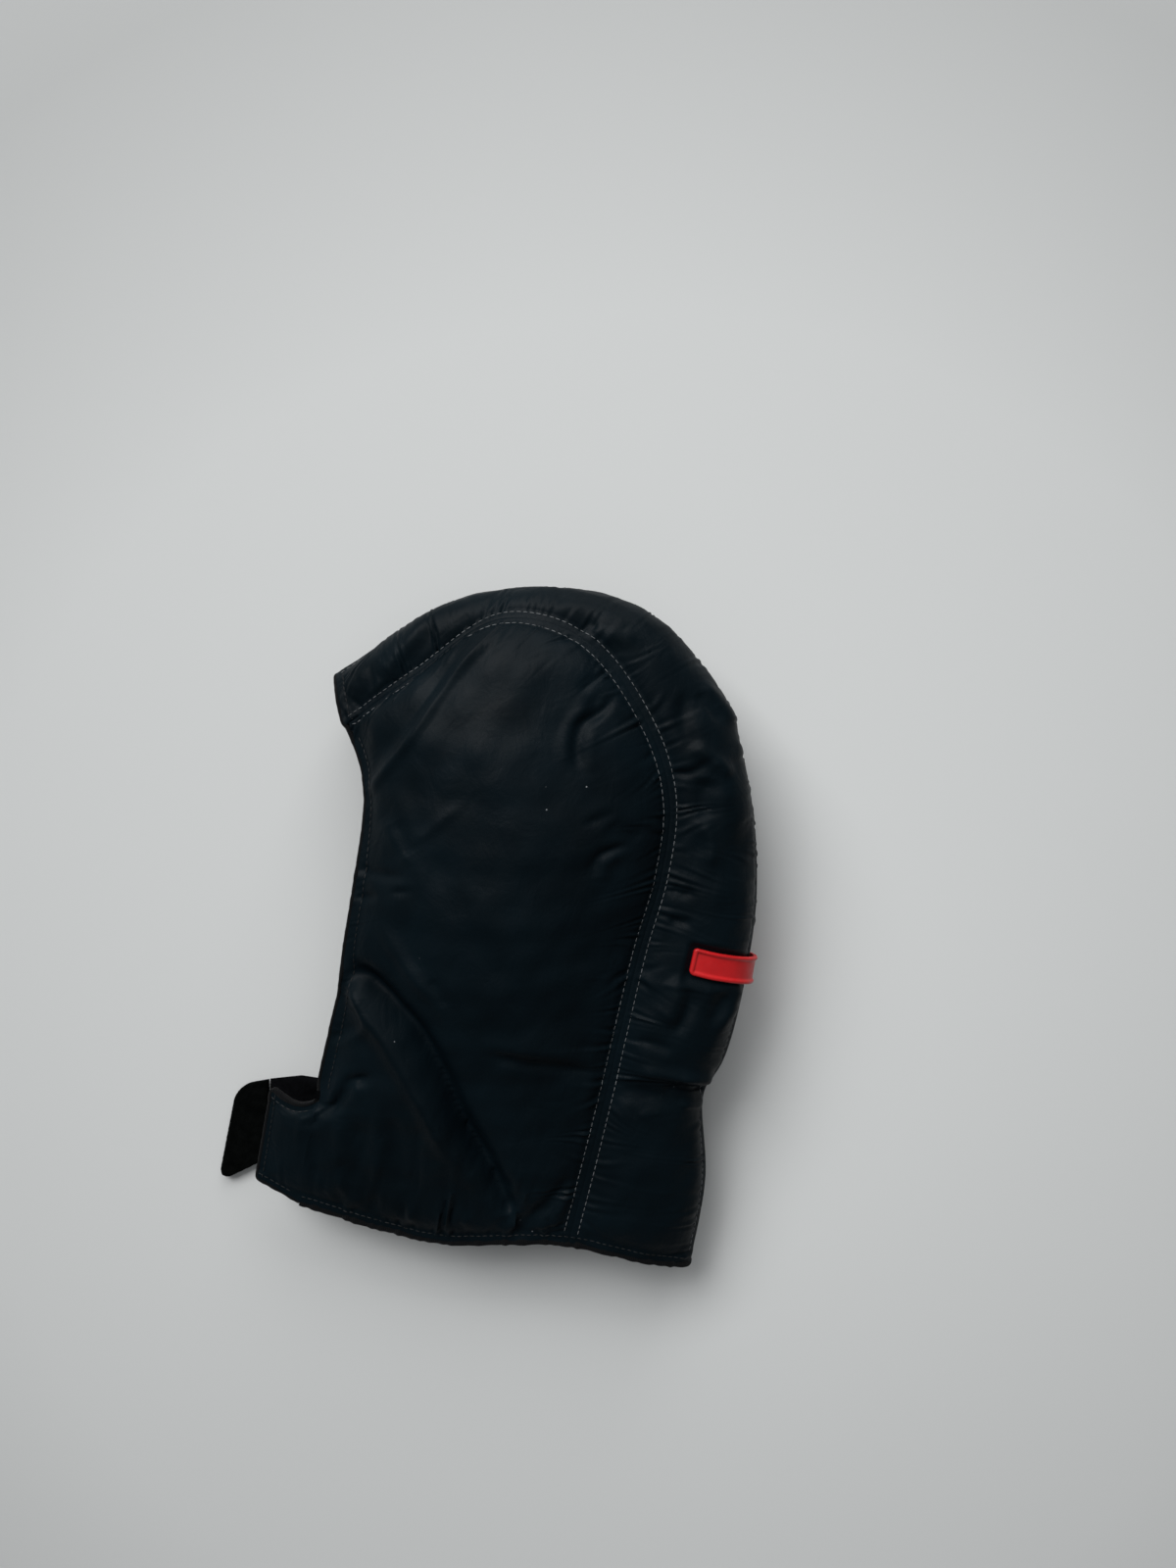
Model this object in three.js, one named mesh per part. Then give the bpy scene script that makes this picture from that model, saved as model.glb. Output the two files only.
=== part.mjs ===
// A padded nylon balaclava, or padded hood, lying on its right side on a flat surface, in millimetres.
// +X runs from the face opening to the back of the head, +Y from the neck hem to the crown, and +Z from
// the wearer's right to the left, which is up as it lies. Four padded panels, each of a nylon shell, a
// wadding and a fleece lining, meet in two crown seams and a centre back seam. The edges are bound, an
// elastic gathers the nape, a moulded rubber tab bridges the centre back seam, and two flaps meet at the
// throat: the left one lifts, and the right one ends in a tab that folds up to fasten under the left.
import * as THREE from "three";

// ---- Driving dimensions ----
const SHELL = 0.8; // nylon shell
const LINING = 1.0; // fleece lining
const GAP = 0.3; // between neighbouring layers
const SEAM_GAP = 0.4; // from a seam line to the panel on either side of it
const STITCHED = 3.6; // all layers together where they are sewn through
const FULL = 9.0; // all layers together in the middle of a panel
const PUFF_REACH = 14; // how quickly a panel swells away from its seams
const BINDING = 1.9; // radius of the rolled edge binding
const SHOULDER = 0.72; // where the back panel's shoulder stands between crown seam and centre seam

// The lining's inner face at each station from the brow, over the crown and down the back to the hem:
// centre seam, left crown seam and face edge as [x, y, z], and the height of the side panel between them,
// whose middle sags below the line that joins its two edges at the hem.
const STATIONS = [
  { back: [-72.5, 129.5, 40], seam: [-66.5, 104.5, 52], edge: [-64, 101, 52], side: 52 }, // brow
  { back: [-36, 151.5, 41], seam: [-32.5, 127, 62], edge: [-57.5, 84, 56.5], side: 63 },
  { back: [14, 168, 42], seam: [10, 153, 68], edge: [-55.5, 70.5, 59.5], side: 73 }, // crown
  { back: [70.5, 159.5, 42], seam: [49, 142.5, 72], edge: [-56, 53, 61], side: 80 },
  { back: [112, 122.5, 44], seam: [79, 102.5, 72], edge: [-58.5, 34, 62], side: 83 },
  { back: [128, 73.5, 46], seam: [89.5, 67.5, 69], edge: [-61.5, 15, 62], side: 83 },
  { back: [132.5, 24.5, 46], seam: [86, 30.5, 65], edge: [-65, -4.5, 60.5], side: 80 },
  { back: [128, -17.5, 44], seam: [76, -5.5, 61], edge: [-68, -24, 57.5], side: 75 }, // rubber tab
  { back: [117.5, -62.5, 40], seam: [65.5, -51.5, 56], edge: [-74, -49, 52.5], side: 66 },
  { back: [107, -83.5, 35], seam: [60.5, -75, 52], edge: [-83.5, -84, 44.5], side: 57 }, // nape and chin
  { back: [108.5, -128.5, 30], seam: [51, -116.5, 46], edge: [-90.5, -110, 38.5], side: 46 },
  { back: [102, -170.5, 25], seam: [41.5, -155, 40], edge: [-96, -136.5, 33.5], side: 36, sag: 9 }, // hem
];
const CHIN = 9 / 11; // where the face edge ends and the throat flap starts
const NAPE = 9 / 11; // where the elastic gathers the back
const TAB_AT = 7 / 11; // where the rubber tab sits on the back

// The right half lies on the surface, so these heights of its lining's inner face are low.
const RIGHT_SEAM_Z = 5;
const RIGHT_SIDE_Z = 7;
const RIGHT_FACE_EDGE_Z = 8;
const RIGHT_FLAP_EDGE_Z = 5.6;

// Rubber tab on the centre back seam, and the dent that sewing it down leaves in the panels
const TAB_LENGTH = 66;
const TAB_HEIGHT = 14;
const TAB_BASE = 1.4;
const TAB_RIM = 0.7; // how far its rim stands above the sunk field
const TAB_RIM_WIDTH = 2;
const TAB_DENT = 5.4;

// Left throat flap: the lining's inner face, hinge line first
const FLAP_FRONT_TOP = [-106.5, -82.5, 38.5];
const FLAP_FRONT_BOTTOM = [-115.5, -126, 32];
const FLAP_THICK = 5;
const CHIN_DIP = 4.5; // how far the edge under the chin curves down

// Right throat flap and its folding tab, flat on the surface
const FLAT_SHELL_Z = 1.5;
const FLAT_LINING_Z = 3.9;
const FLAT_TOP_Z = 5.4;
const FOLD_X = -121;

// Grid lines shared by every layer, so that their facets stay parallel
const U_LINES = [
  0, 0.03, 0.06, 0.09, 0.12, 0.15, 0.18, 0.21, 0.245, 0.28, 0.315, 0.35, 0.385, 0.42, 0.46, 0.5, 0.54,
  0.58, 0.605, 0.618, 0.655, 0.67, 0.7, 0.73, 0.76, 0.79, 0.818, 0.845, 0.88, 0.92, 0.96, 1,
];
const SIDE_CELLS = 6;
const BACK_CELLS = 4;
const END_TRIM = 0.0008;
const SIDE_TIP = 0.014;

// ---- Materials ----
const cloth = (color, roughness) => new THREE.MeshStandardMaterial({ color, roughness, metalness: 0 });
const NYLON = cloth(0x0c1013, 0.42);
const WADDING = cloth(0xdedcd4, 0.95);
const FLEECE = cloth(0x08080a, 0.95);
const BINDING_KNIT = cloth(0x07080a, 0.85);
const ELASTIC = cloth(0x141416, 0.8);
const PATCH = cloth(0x050505, 0.9);
const RUBBER = cloth(0xc8161d, 0.35);
const LABEL = cloth(0xe8e8e4, 0.6);

// ---- The lining's inner face: u runs from brow to hem, v from the left face edge (0) over the left crown
// seam (2), the centre back seam (4) and the right crown seam (6) to the right face edge (8) ----
const vec = (p) => new THREE.Vector3(...p);
const mix = THREE.MathUtils.lerp;
const rail = (points) => new THREE.CatmullRomCurve3(points.map(vec));

const backRail = rail(STATIONS.map((s) => s.back));
const seamRail = rail(STATIONS.map((s) => s.seam));
const edgeRail = rail(STATIONS.map((s) => s.edge));
const sideRail = rail(
  STATIONS.map(({ edge, seam, side, sag = 0 }) => [
    (edge[0] + seam[0]) / 2,
    (edge[1] + seam[1]) / 2 - sag,
    side,
  ]),
);

const sections = new Map();
function section(u) {
  if (sections.has(u)) return sections.get(u);
  const [edge, side, seam, back] = [edgeRail, sideRail, seamRail, backRail].map((r) => r.getPoint(u));
  const rise = Math.sqrt(1 - SHOULDER ** 2);
  const shoulder = seam.clone().lerp(back, SHOULDER);
  shoulder.z = mix(back.z, seam.z, rise);
  const lowered = (p, z) => new THREE.Vector3(p.x, p.y, z);
  const edgeZ = mix(RIGHT_FACE_EDGE_Z, RIGHT_FLAP_EDGE_Z, THREE.MathUtils.smoothstep(u, CHIN - 0.12, CHIN));
  const made = new THREE.CatmullRomCurve3([
    edge,
    side,
    seam,
    shoulder,
    back,
    lowered(shoulder, mix(back.z, RIGHT_SEAM_Z, rise)),
    lowered(seam, RIGHT_SEAM_Z),
    lowered(side, RIGHT_SIDE_Z),
    lowered(edge, edgeZ),
  ]);
  sections.set(u, made);
  return made;
}

const inner = (u, v) => section(u).getPoint(v / 8);

function outward(u, v) {
  const step = 0.004;
  const [u0, u1] = [Math.max(0, u - step), Math.min(1, u + step)];
  const [v0, v1] = [Math.max(0, v - 8 * step), Math.min(8, v + 8 * step)];
  const along = inner(u1, v).sub(inner(u0, v));
  const across = inner(u, v1).sub(inner(u, v0));
  return along.cross(across).normalize();
}

// ---- Thickness ----
const panelStart = (v) => (v < 2 ? 0 : v < 4 ? 2 : v < 6 ? 4 : 6);
const panelWidth = (u, start) => {
  const points = [0, 0.5, 1, 1.5, 2].map((d) => inner(u, start + d));
  return points.slice(1).reduce((sum, p, i) => sum + p.distanceTo(points[i]), 0);
};
const swell = (distance) => 1 - Math.exp(-distance / PUFF_REACH);
const BACK_LENGTH = backRail.getLength();

function thickness(u, v) {
  const start = Math.min(6, panelStart(v));
  const toSeam = (Math.min(v - start, start + 2 - v) / 2) * panelWidth(u, start);
  const toEnd = Math.min(u, 1 - u) * BACK_LENGTH;
  let full = mix(STITCHED, FULL, swell(toSeam) * swell(toEnd));
  if (v > 2 && v < 6) full = mix(STITCHED, full, 1 - 0.7 * Math.exp(-(((u - NAPE) / 0.02) ** 2)));
  const underTab = Math.abs(u - TAB_AT) < 0.02 && Math.abs(v - 4) < 1.6;
  if (underTab) full = Math.min(full, TAB_DENT);
  // the right half is pressed flat by the surface it lies on
  const n = outward(u, v);
  return n.z < 0 ? Math.min(full, inner(u, v).z / -n.z) : full;
}

function at(u, v, depth) {
  const p = inner(u, v).addScaledVector(outward(u, v), depth);
  if (Math.abs(p.z) < 1e-4) p.z = 0;
  return p;
}

// ---- Solids ----
// A closed slab whose corners follow point(a, b, c), each from 0 to 1. Both faces share their diagonals, so
// slabs laid on one another keep their distance.
function mapped(columns, rows, point) {
  const positions = [];
  const index = [];
  const corner = (i, j, c) => (c * (rows + 1) + j) * (columns + 1) + i;
  for (const c of [0, 1])
    for (let j = 0; j <= rows; j++)
      for (let i = 0; i <= columns; i++) positions.push(...point(i / columns, j / rows, c));
  const quad = (p, q, r, s) => index.push(p, q, r, p, r, s);
  for (let i = 0; i < columns; i++)
    for (let j = 0; j < rows; j++) {
      const loop = [[i, j], [i + 1, j], [i + 1, j + 1], [i, j + 1]];
      const [p, q, r, s] = loop.map(([k, l]) => corner(k, l, 1));
      const [pp, qq, rr, ss] = loop.map(([k, l]) => corner(k, l, 0));
      quad(p, q, r, s);
      index.push(pp, rr, qq, pp, ss, rr);
    }
  const wall = (from, to) => quad(corner(...from, 0), corner(...to, 0), corner(...to, 1), corner(...from, 1));
  for (let i = 0; i < columns; i++) {
    wall([i, 0], [i + 1, 0]);
    wall([i + 1, rows], [i, rows]);
  }
  for (let j = 0; j < rows; j++) {
    wall([columns, j], [columns, j + 1]);
    wall([0, j + 1], [0, j]);
  }
  const slab = new THREE.BufferGeometry();
  slab.setAttribute("position", new THREE.Float32BufferAttribute(positions, 3));
  slab.setIndex(index);
  return slab;
}

const hood = new THREE.Group();
const add = (name, geometry, material) => {
  const mesh = new THREE.Mesh(geometry, material);
  mesh.name = name;
  hood.add(mesh);
  return mesh;
};

// One layer of one panel, from low(thickness) to high(thickness) above the lining's inner face.
function layer(start, cells, low, high) {
  return mapped(U_LINES.length - 1, cells, (a, b, c) => {
    const line = Math.round(a * (U_LINES.length - 1));
    const tip = start % 6 === 0 ? SIDE_TIP : END_TRIM; // the side panels end in a blunt tip at the brow
    const u = a === 0 ? tip : a === 1 ? 1 - END_TRIM : U_LINES[line];
    const inset = SEAM_GAP / panelWidth(u, start);
    const v = start + 2 * mix(inset, 1 - inset, b);
    const full = thickness(u, v);
    return at(u, v, c < 0.5 ? low(full) : high(full));
  });
}

const LAYERS = [
  ["lining", FLEECE, () => 0, () => LINING],
  ["wadding", WADDING, () => LINING + GAP, (full) => full - SHELL - GAP],
  ["shell", NYLON, (full) => full - SHELL, (full) => full],
];
const PANELS = [
  ["left_side", 0, SIDE_CELLS],
  ["left_back", 2, BACK_CELLS],
  ["right_back", 4, BACK_CELLS],
  ["right_side", 6, SIDE_CELLS],
];
for (const [panel, start, cells] of PANELS)
  for (const [name, material, low, high] of LAYERS)
    add(`${panel}_${name}`, layer(start, cells, low, high), material);

// A strip that follows the panels' own grid lines across the back, such as the nape elastic.
function strip(uLines, vLines, low, high) {
  return mapped(uLines.length - 1, vLines.length - 1, (a, b, c) => {
    const u = uLines[Math.round(a * (uLines.length - 1))];
    const v = vLines[Math.round(b * (vLines.length - 1))];
    return at(u, v, c < 0.5 ? low(u, v) : high(u, v));
  });
}
const NAPE_LINES = [0.79, 0.818, 0.845];
const NAPE_ACROSS = [2.5, 3, 3.5, 4, 4.5, 5, 5.5];
add("nape_elastic", strip(NAPE_LINES, NAPE_ACROSS, () => -1.6, () => -0.6), ELASTIC);
add("nape_elastic_casing", strip(NAPE_LINES, NAPE_ACROSS, () => -2.6, () => -1.9), FLEECE);
add("care_label", strip([0.88, 0.92, 0.96], [3.1, 3.45], () => -1.1, () => -0.7), LABEL);

// ---- Rubber tab over the centre back seam ----
// The v that lies this far across the back from the centre seam.
function acrossBack(u, distance) {
  const step = 0.01 * Math.sign(distance);
  let [v, gone, last] = [4, 0, inner(u, 4)];
  while (gone < Math.abs(distance)) {
    v += step;
    const next = inner(u, v);
    gone += next.distanceTo(last);
    last = next;
  }
  return v;
}

function rubberTab() {
  const perU = BACK_LENGTH * 0.985; // mm for one unit of u at the tab
  const half = [0, 0.12, 0.24, 0.36, 0.5, 0.64, 0.78, 0.92, 0.94, 1];
  const across = [...half.slice(1).reverse().map((a) => -a), ...half];
  const rimShare = (TAB_RIM_WIDTH * 2) / TAB_HEIGHT;
  const up = [-1, -1 + rimShare, -1 + rimShare + 0.06, 1 - rimShare - 0.06, 1 - rimShare, 1];
  return mapped(up.length - 1, across.length - 1, (a, b, c) => {
    const i = Math.round(a * (up.length - 1));
    const j = Math.round(b * (across.length - 1));
    const sunk = i > 1 && i < up.length - 2 && j > 1 && j < across.length - 2;
    const u = TAB_AT + (up[i] * TAB_HEIGHT) / 2 / perU;
    const v = acrossBack(TAB_AT, (across[j] * TAB_LENGTH) / 2);
    const top = TAB_BASE + (sunk ? 0 : TAB_RIM);
    return at(u, v, TAB_DENT + GAP + (c < 0.5 ? 0 : top));
  });
}
add("rubber_tab", rubberTab(), RUBBER);

// ---- Rolled bindings: a round section swept along a path ----
function roll(points, steps, radius = BINDING) {
  const section = new THREE.Shape().absarc(0, 0, radius, 0, 2 * Math.PI);
  const path = new THREE.CatmullRomCurve3(points);
  return new THREE.ExtrudeGeometry(section, { steps, curveSegments: 4, extrudePath: path });
}
// Points beside the panels' edge along a route of [u, v] pairs, off the edge by the binding's radius.
function beside(route, side) {
  return route.map(([u, v], i) => {
    const [u0, v0] = route[Math.max(0, i - 1)];
    const [u1, v1] = route[Math.min(route.length - 1, i + 1)];
    const tangent = inner(u1, v1).sub(inner(u0, v0));
    const away = outward(u, v).cross(tangent).normalize().multiplyScalar(side * (BINDING + GAP));
    return at(u, v, thickness(u, v) / 2).add(away);
  });
}
const ramp = (from, to, count) => Array.from({ length: count }, (_, i) => mix(from, to, i / (count - 1)));
const FACE_ROUTE = [
  ...ramp(CHIN - 0.012, 0.025, 12).map((u) => [u, 0]),
  ...ramp(2, 6, 7).map((v) => [0, v]),
  ...ramp(0.025, CHIN - 0.012, 12).map((u) => [u, 8]),
];
add("face_binding", roll(beside(FACE_ROUTE, 1), 64), BINDING_KNIT);
const HEM_ROUTE = ramp(0.03, 7.97, 22).map((v) => [1, v]);
add("hem_binding", roll(beside(HEM_ROUTE, -1), 48), BINDING_KNIT);

// ---- Left throat flap, which lifts about its hinge line ----
const hingeTop = vec(STATIONS[9].edge);
const hingeBottom = vec(STATIONS[11].edge);
function flapPoint(a, b, depth) {
  // a from the hinge line to the front edge, b from the chin to the hem
  const top = hingeTop.clone().lerp(vec(FLAP_FRONT_TOP), a);
  top.y -= CHIN_DIP * 4 * a * (1 - a) * (1 - b);
  const bottom = hingeBottom.clone().lerp(vec(FLAP_FRONT_BOTTOM), a);
  const p = top.lerp(bottom, b);
  const n = vec(FLAP_FRONT_TOP).sub(hingeTop).cross(hingeBottom.clone().sub(hingeTop)).normalize();
  return p.addScaledVector(n, depth);
}
const flapLayer = (low, high, a0 = 0.03, a1 = 1, b0 = 0, b1 = 1) =>
  mapped(4, 5, (a, b, c) => flapPoint(mix(a0, a1, a), mix(b0, b1, b), mix(low, high, c)));
add("left_flap_lining", flapLayer(0, LINING), FLEECE);
add("left_flap_wadding", flapLayer(LINING + GAP, FLAP_THICK - SHELL - GAP), WADDING);
add("left_flap_shell", flapLayer(FLAP_THICK - SHELL, FLAP_THICK), NYLON);
add("hook_patch", flapLayer(-1.5, -GAP, 0.3, 0.9, 0.2, 0.86), PATCH);

// The binding runs round the flap's chin edge, front edge and hem, clear of the flap by its radius.
function flapRim(a, b, outA, outB) {
  const away = BINDING + 3 * GAP;
  const across = flapPoint(1, b, 0).sub(flapPoint(0, b, 0)).normalize();
  const down = flapPoint(a, 1, 0).sub(flapPoint(a, 0, 0)).normalize();
  return flapPoint(a, b, FLAP_THICK / 2)
    .addScaledVector(across, outA * away)
    .addScaledVector(down, outB * away);
}
const FLAP_RIM = [
  ...[0.14, 0.4, 0.65, 0.9].map((a) => flapRim(a, 0, 0, -1)),
  flapRim(1, 0, 0.72, -0.72),
  ...[0.15, 0.4, 0.6, 0.85].map((b) => flapRim(1, b, 1, 0)),
  flapRim(1, 1, 0.72, 0.72),
  ...[0.9, 0.65, 0.4, 0.14].map((a) => flapRim(a, 1, 0, 1)),
];
add("left_flap_binding", roll(FLAP_RIM, 36), BINDING_KNIT);

// ---- Right throat flap and folding tab: flat pieces on the surface ----
function flat(points, z0, z1, corner = 0) {
  const shape = new THREE.Shape();
  points.forEach(([x, y], i) => {
    const [px, py] = points[(i + points.length - 1) % points.length];
    const [nx, ny] = points[(i + 1) % points.length];
    const round = points[i][2] ? corner : 0;
    const near = (qx, qy) => {
      const length = Math.hypot(qx - x, qy - y);
      return [x + ((qx - x) * round) / length, y + ((qy - y) * round) / length];
    };
    const [ax, ay] = near(px, py);
    if (i === 0) shape.moveTo(ax, ay);
    else shape.lineTo(ax, ay);
    if (round) shape.quadraticCurveTo(x, y, ...near(nx, ny));
  });
  const made = new THREE.ExtrudeGeometry(shape, { depth: z1 - z0, bevelEnabled: false, curveSegments: 5 });
  return made.translate(0, 0, z0);
}
const BESIDE_PANEL = 0.9; // from the side panel's front edge to the flap
const RIGHT_FLAP = [
  [FOLD_X + 0.2, -84.8],
  [FOLD_X + 0.2, -127.2],
  [hingeBottom.x - BESIDE_PANEL, hingeBottom.y + 2],
  [hingeTop.x - BESIDE_PANEL, hingeTop.y - 2],
  [-104, -83],
];
add("right_flap_shell", flat(RIGHT_FLAP, FLAT_SHELL_Z, FLAT_SHELL_Z + SHELL), NYLON);
add("right_flap_wadding", flat(RIGHT_FLAP, FLAT_SHELL_Z + SHELL + GAP, FLAT_LINING_Z - GAP), WADDING);
add("right_flap_lining", flat(RIGHT_FLAP, FLAT_LINING_Z, FLAT_TOP_Z), FLEECE);

// The tab is rounded at the corners marked true.
const TAB_OUTLINE = [
  [FOLD_X - 0.4, -85],
  [-138.5, -88, true],
  [-148.5, -140, true],
  [FOLD_X - 0.4, -127],
];
const towards = (points, share) => {
  const cx = points.reduce((s, p) => s + p[0], 0) / points.length;
  const cy = points.reduce((s, p) => s + p[1], 0) / points.length;
  return points.map(([x, y, round]) => [mix(x, cx, share), mix(y, cy, share), round]);
};
add("right_tab_shell", flat(TAB_OUTLINE, FLAT_SHELL_Z, FLAT_SHELL_Z + SHELL, 8), NYLON);
add("right_tab_lining", flat(TAB_OUTLINE, FLAT_SHELL_Z + SHELL + GAP, FLAT_TOP_Z, 8), FLEECE);
add("loop_patch", flat(towards(TAB_OUTLINE, 0.12), 0, FLAT_SHELL_Z - GAP, 5), PATCH);

// ---- The origin is under the middle of the object, on the surface it lies on ----
const bounds = new THREE.Box3().setFromObject(hood, true);
const middle = bounds.getCenter(new THREE.Vector3());
hood.position.set(-middle.x, -middle.y, -bounds.min.z);

export default hood;
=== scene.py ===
"""Looks for a padded nylon balaclava that lies on its right side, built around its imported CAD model.

Lengths in the shape functions are millimetres in the row frame: +X to the back of the head, +Y to the
crown, +Z up. Meshes are metres.
"""

import math

import bmesh
import bpy
import numpy as np
from mathutils import Matrix, Vector
from mathutils.kdtree import KDTree


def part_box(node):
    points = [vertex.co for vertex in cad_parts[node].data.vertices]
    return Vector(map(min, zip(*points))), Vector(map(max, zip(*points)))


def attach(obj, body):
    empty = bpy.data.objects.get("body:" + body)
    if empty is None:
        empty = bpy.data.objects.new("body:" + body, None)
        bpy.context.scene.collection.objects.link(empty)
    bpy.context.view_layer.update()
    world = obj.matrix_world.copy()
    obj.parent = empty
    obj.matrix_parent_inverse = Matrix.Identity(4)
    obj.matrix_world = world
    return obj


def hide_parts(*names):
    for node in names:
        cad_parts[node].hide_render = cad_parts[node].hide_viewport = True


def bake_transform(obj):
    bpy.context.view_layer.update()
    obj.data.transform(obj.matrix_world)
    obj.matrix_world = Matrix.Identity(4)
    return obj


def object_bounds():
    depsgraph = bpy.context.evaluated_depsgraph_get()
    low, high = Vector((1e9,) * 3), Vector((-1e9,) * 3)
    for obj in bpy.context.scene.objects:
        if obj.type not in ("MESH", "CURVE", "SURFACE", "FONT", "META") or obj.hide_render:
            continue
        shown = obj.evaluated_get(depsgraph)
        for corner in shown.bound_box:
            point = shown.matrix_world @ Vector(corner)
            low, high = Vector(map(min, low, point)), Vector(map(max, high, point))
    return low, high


bl_info = {
    "name": "Padded balaclava",
    "version": (1, 0, 0),
    "blender": (4, 5, 0),
    "location": "View3D > Sidebar > Balaclava",
    "description": "Sews, pads and topstitches a padded nylon balaclava",
    "category": "Object",
}

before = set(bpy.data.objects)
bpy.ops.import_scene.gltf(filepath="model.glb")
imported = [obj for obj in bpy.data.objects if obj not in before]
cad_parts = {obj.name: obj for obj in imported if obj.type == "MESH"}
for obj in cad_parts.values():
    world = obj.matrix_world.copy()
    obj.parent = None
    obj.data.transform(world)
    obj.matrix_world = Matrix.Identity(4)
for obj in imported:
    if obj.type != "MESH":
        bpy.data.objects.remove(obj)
CAD_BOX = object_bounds()
MM = 0.001

# ---------------------------------------------------------------- the hood's pattern
# Each station from brow over crown to hem gives the lining's centre seam, left crown seam, face edge,
# and the side panel's height and sag, as in the CAD part.
STATIONS = (
    ((-72.5, 129.5, 40), (-66.5, 104.5, 52), (-64, 101, 52), 52, 0),
    ((-36, 151.5, 41), (-32.5, 127, 62), (-57.5, 84, 56.5), 63, 0),
    ((14, 168, 42), (10, 153, 68), (-55.5, 70.5, 59.5), 73, 0),
    ((70.5, 159.5, 42), (49, 142.5, 72), (-56, 53, 61), 80, 0),
    ((112, 122.5, 44), (79, 102.5, 72), (-58.5, 34, 62), 83, 0),
    ((128, 73.5, 46), (89.5, 67.5, 69), (-61.5, 15, 62), 83, 0),
    ((132.5, 24.5, 46), (86, 30.5, 65), (-65, -4.5, 60.5), 80, 0),
    ((128, -17.5, 44), (76, -5.5, 61), (-68, -24, 57.5), 75, 0),
    ((117.5, -62.5, 40), (65.5, -51.5, 56), (-74, -49, 52.5), 66, 0),
    ((107, -83.5, 35), (60.5, -75, 52), (-83.5, -84, 44.5), 57, 0),
    ((108.5, -128.5, 30), (51, -116.5, 46), (-90.5, -110, 38.5), 46, 0),
    ((102, -170.5, 25), (41.5, -155, 40), (-96, -136.5, 33.5), 36, 9),
)
CHIN = 9 / 11
NAPE = 9 / 11
TAB_AT = 7 / 11
SHOULDER = 0.72
RIGHT_SEAM_Z, RIGHT_SIDE_Z, RIGHT_FACE_EDGE_Z, RIGHT_FLAP_EDGE_Z = 5.0, 7.0, 8.0, 5.6
FLAP_FRONT_TOP, FLAP_FRONT_BOTTOM = (-106.5, -82.5, 38.5), (-115.5, -126, 32)
FLAP_THICK = 5.0
CHIN_DIP = 4.5
FLAP_ROWS = 21
FOLD_X = -121.0
TAB_LENGTH, TAB_HEIGHT, TAB_CORNER = 66.0, 14.0, 2.2
TAB_DENT, TAB_UNDERSIDE, TAB_TOP = 5.2, 5.45, 7.6  # above the lining: the cloth under it, and its faces
STITCHED, FULL = 3.4, 9.0  # thickness of all layers where sewn, and between the seams
THINNEST = 2.9  # under the deepest fold
LINING_CLEAR = 1.2  # the lining's least height, for the shell that lies under it
SEAM_ALLOWANCE = 3.5  # from a seam line to the topstitching on either side
EDGE_ALLOWANCE = 4.5  # from a bound edge to its topstitching
EDGE_REACH = 2.2  # how far the turned edge reaches past the CAD panel, towards the binding's outside
EDGE_STRIP = 12.0  # width beside the edge that this reach stretches
FAR = 200.0  # a distance past every effect, for edges a panel hasn't got


def origin_shift():
    """From the pattern's own coordinates to the row frame, read off the folding tab."""
    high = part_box("right_tab_lining")[1]
    return np.array([high.x / MM - (FOLD_X - 0.4), high.y / MM + 85.0, 0.0])


SHIFT = origin_shift()
PATTERN = [[np.add(s[k], SHIFT) for s in STATIONS] for k in range(3)]


def lerp(a, b, t):
    """A share t of the way from a to b."""
    return a + (b - a) * t


def smooth(low, high, x):
    """Rises from 0 at low to 1 at high, eased at both ends."""
    t = np.clip((x - low) / (high - low), 0, 1)
    return t * t * (3 - 2 * t)


def spline(points, t):
    """Centripetal Catmull-Rom curves through points[..., n, 3], at each parameter in t."""
    points = np.asarray(points, float)
    n = points.shape[-2]
    first = 2 * points[..., :1, :] - points[..., 1:2, :]
    last = 2 * points[..., -1:, :] - points[..., -2:-1, :]
    p = np.concatenate([first, points, last], -2)
    place = np.clip(np.asarray(t, float), 0, 1) * (n - 1)
    i = np.minimum(place.astype(int), n - 2)
    w = (place - i)[:, None]
    p0, p1, p2, p3 = (p[..., i + k, :] for k in range(4))
    span = [np.linalg.norm(b - a, axis=-1, keepdims=True) ** 0.5 for a, b in ((p0, p1), (p1, p2), (p2, p3))]
    span = [np.maximum(s, 1e-4) for s in span]
    m1 = ((p1 - p0) / span[0] - (p2 - p0) / (span[0] + span[1]) + (p2 - p1) / span[1]) * span[1]
    m2 = ((p2 - p1) / span[1] - (p3 - p1) / (span[1] + span[2]) + (p3 - p2) / span[2]) * span[1]
    return p1 + m1 * w + (3 * (p2 - p1) - 2 * m1 - m2) * w**2 + (2 * (p1 - p2) + m1 + m2) * w**3


def cross_sections(u):
    """The nine points of the lining's cross-section at each u, from left face edge to right face edge."""
    back, seam, edge = (spline(points, u) for points in PATTERN)
    middle = [
        [(e[0] + s[0]) / 2, (e[1] + s[1]) / 2 - sag, height]
        for (*_, height, sag), s, e in zip(STATIONS, PATTERN[1], PATTERN[2])
    ]
    side = spline(middle, u)
    rise = math.sqrt(1 - SHOULDER**2)
    shoulder = lerp(seam, back, SHOULDER)
    shoulder[:, 2] = lerp(back[:, 2], seam[:, 2], rise)
    edge_z = lerp(RIGHT_FACE_EDGE_Z, RIGHT_FLAP_EDGE_Z, smooth(CHIN - 0.12, CHIN, u))

    def lowered(p, z):
        q = p.copy()
        q[:, 2] = z
        return q

    return np.stack(
        [
            edge,
            side,
            seam,
            shoulder,
            back,
            lowered(shoulder, lerp(back[:, 2], RIGHT_SEAM_Z, rise)),
            lowered(seam, RIGHT_SEAM_Z),
            lowered(side, RIGHT_SIDE_Z),
            lowered(edge, edge_z),
        ],
        1,
    )


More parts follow.
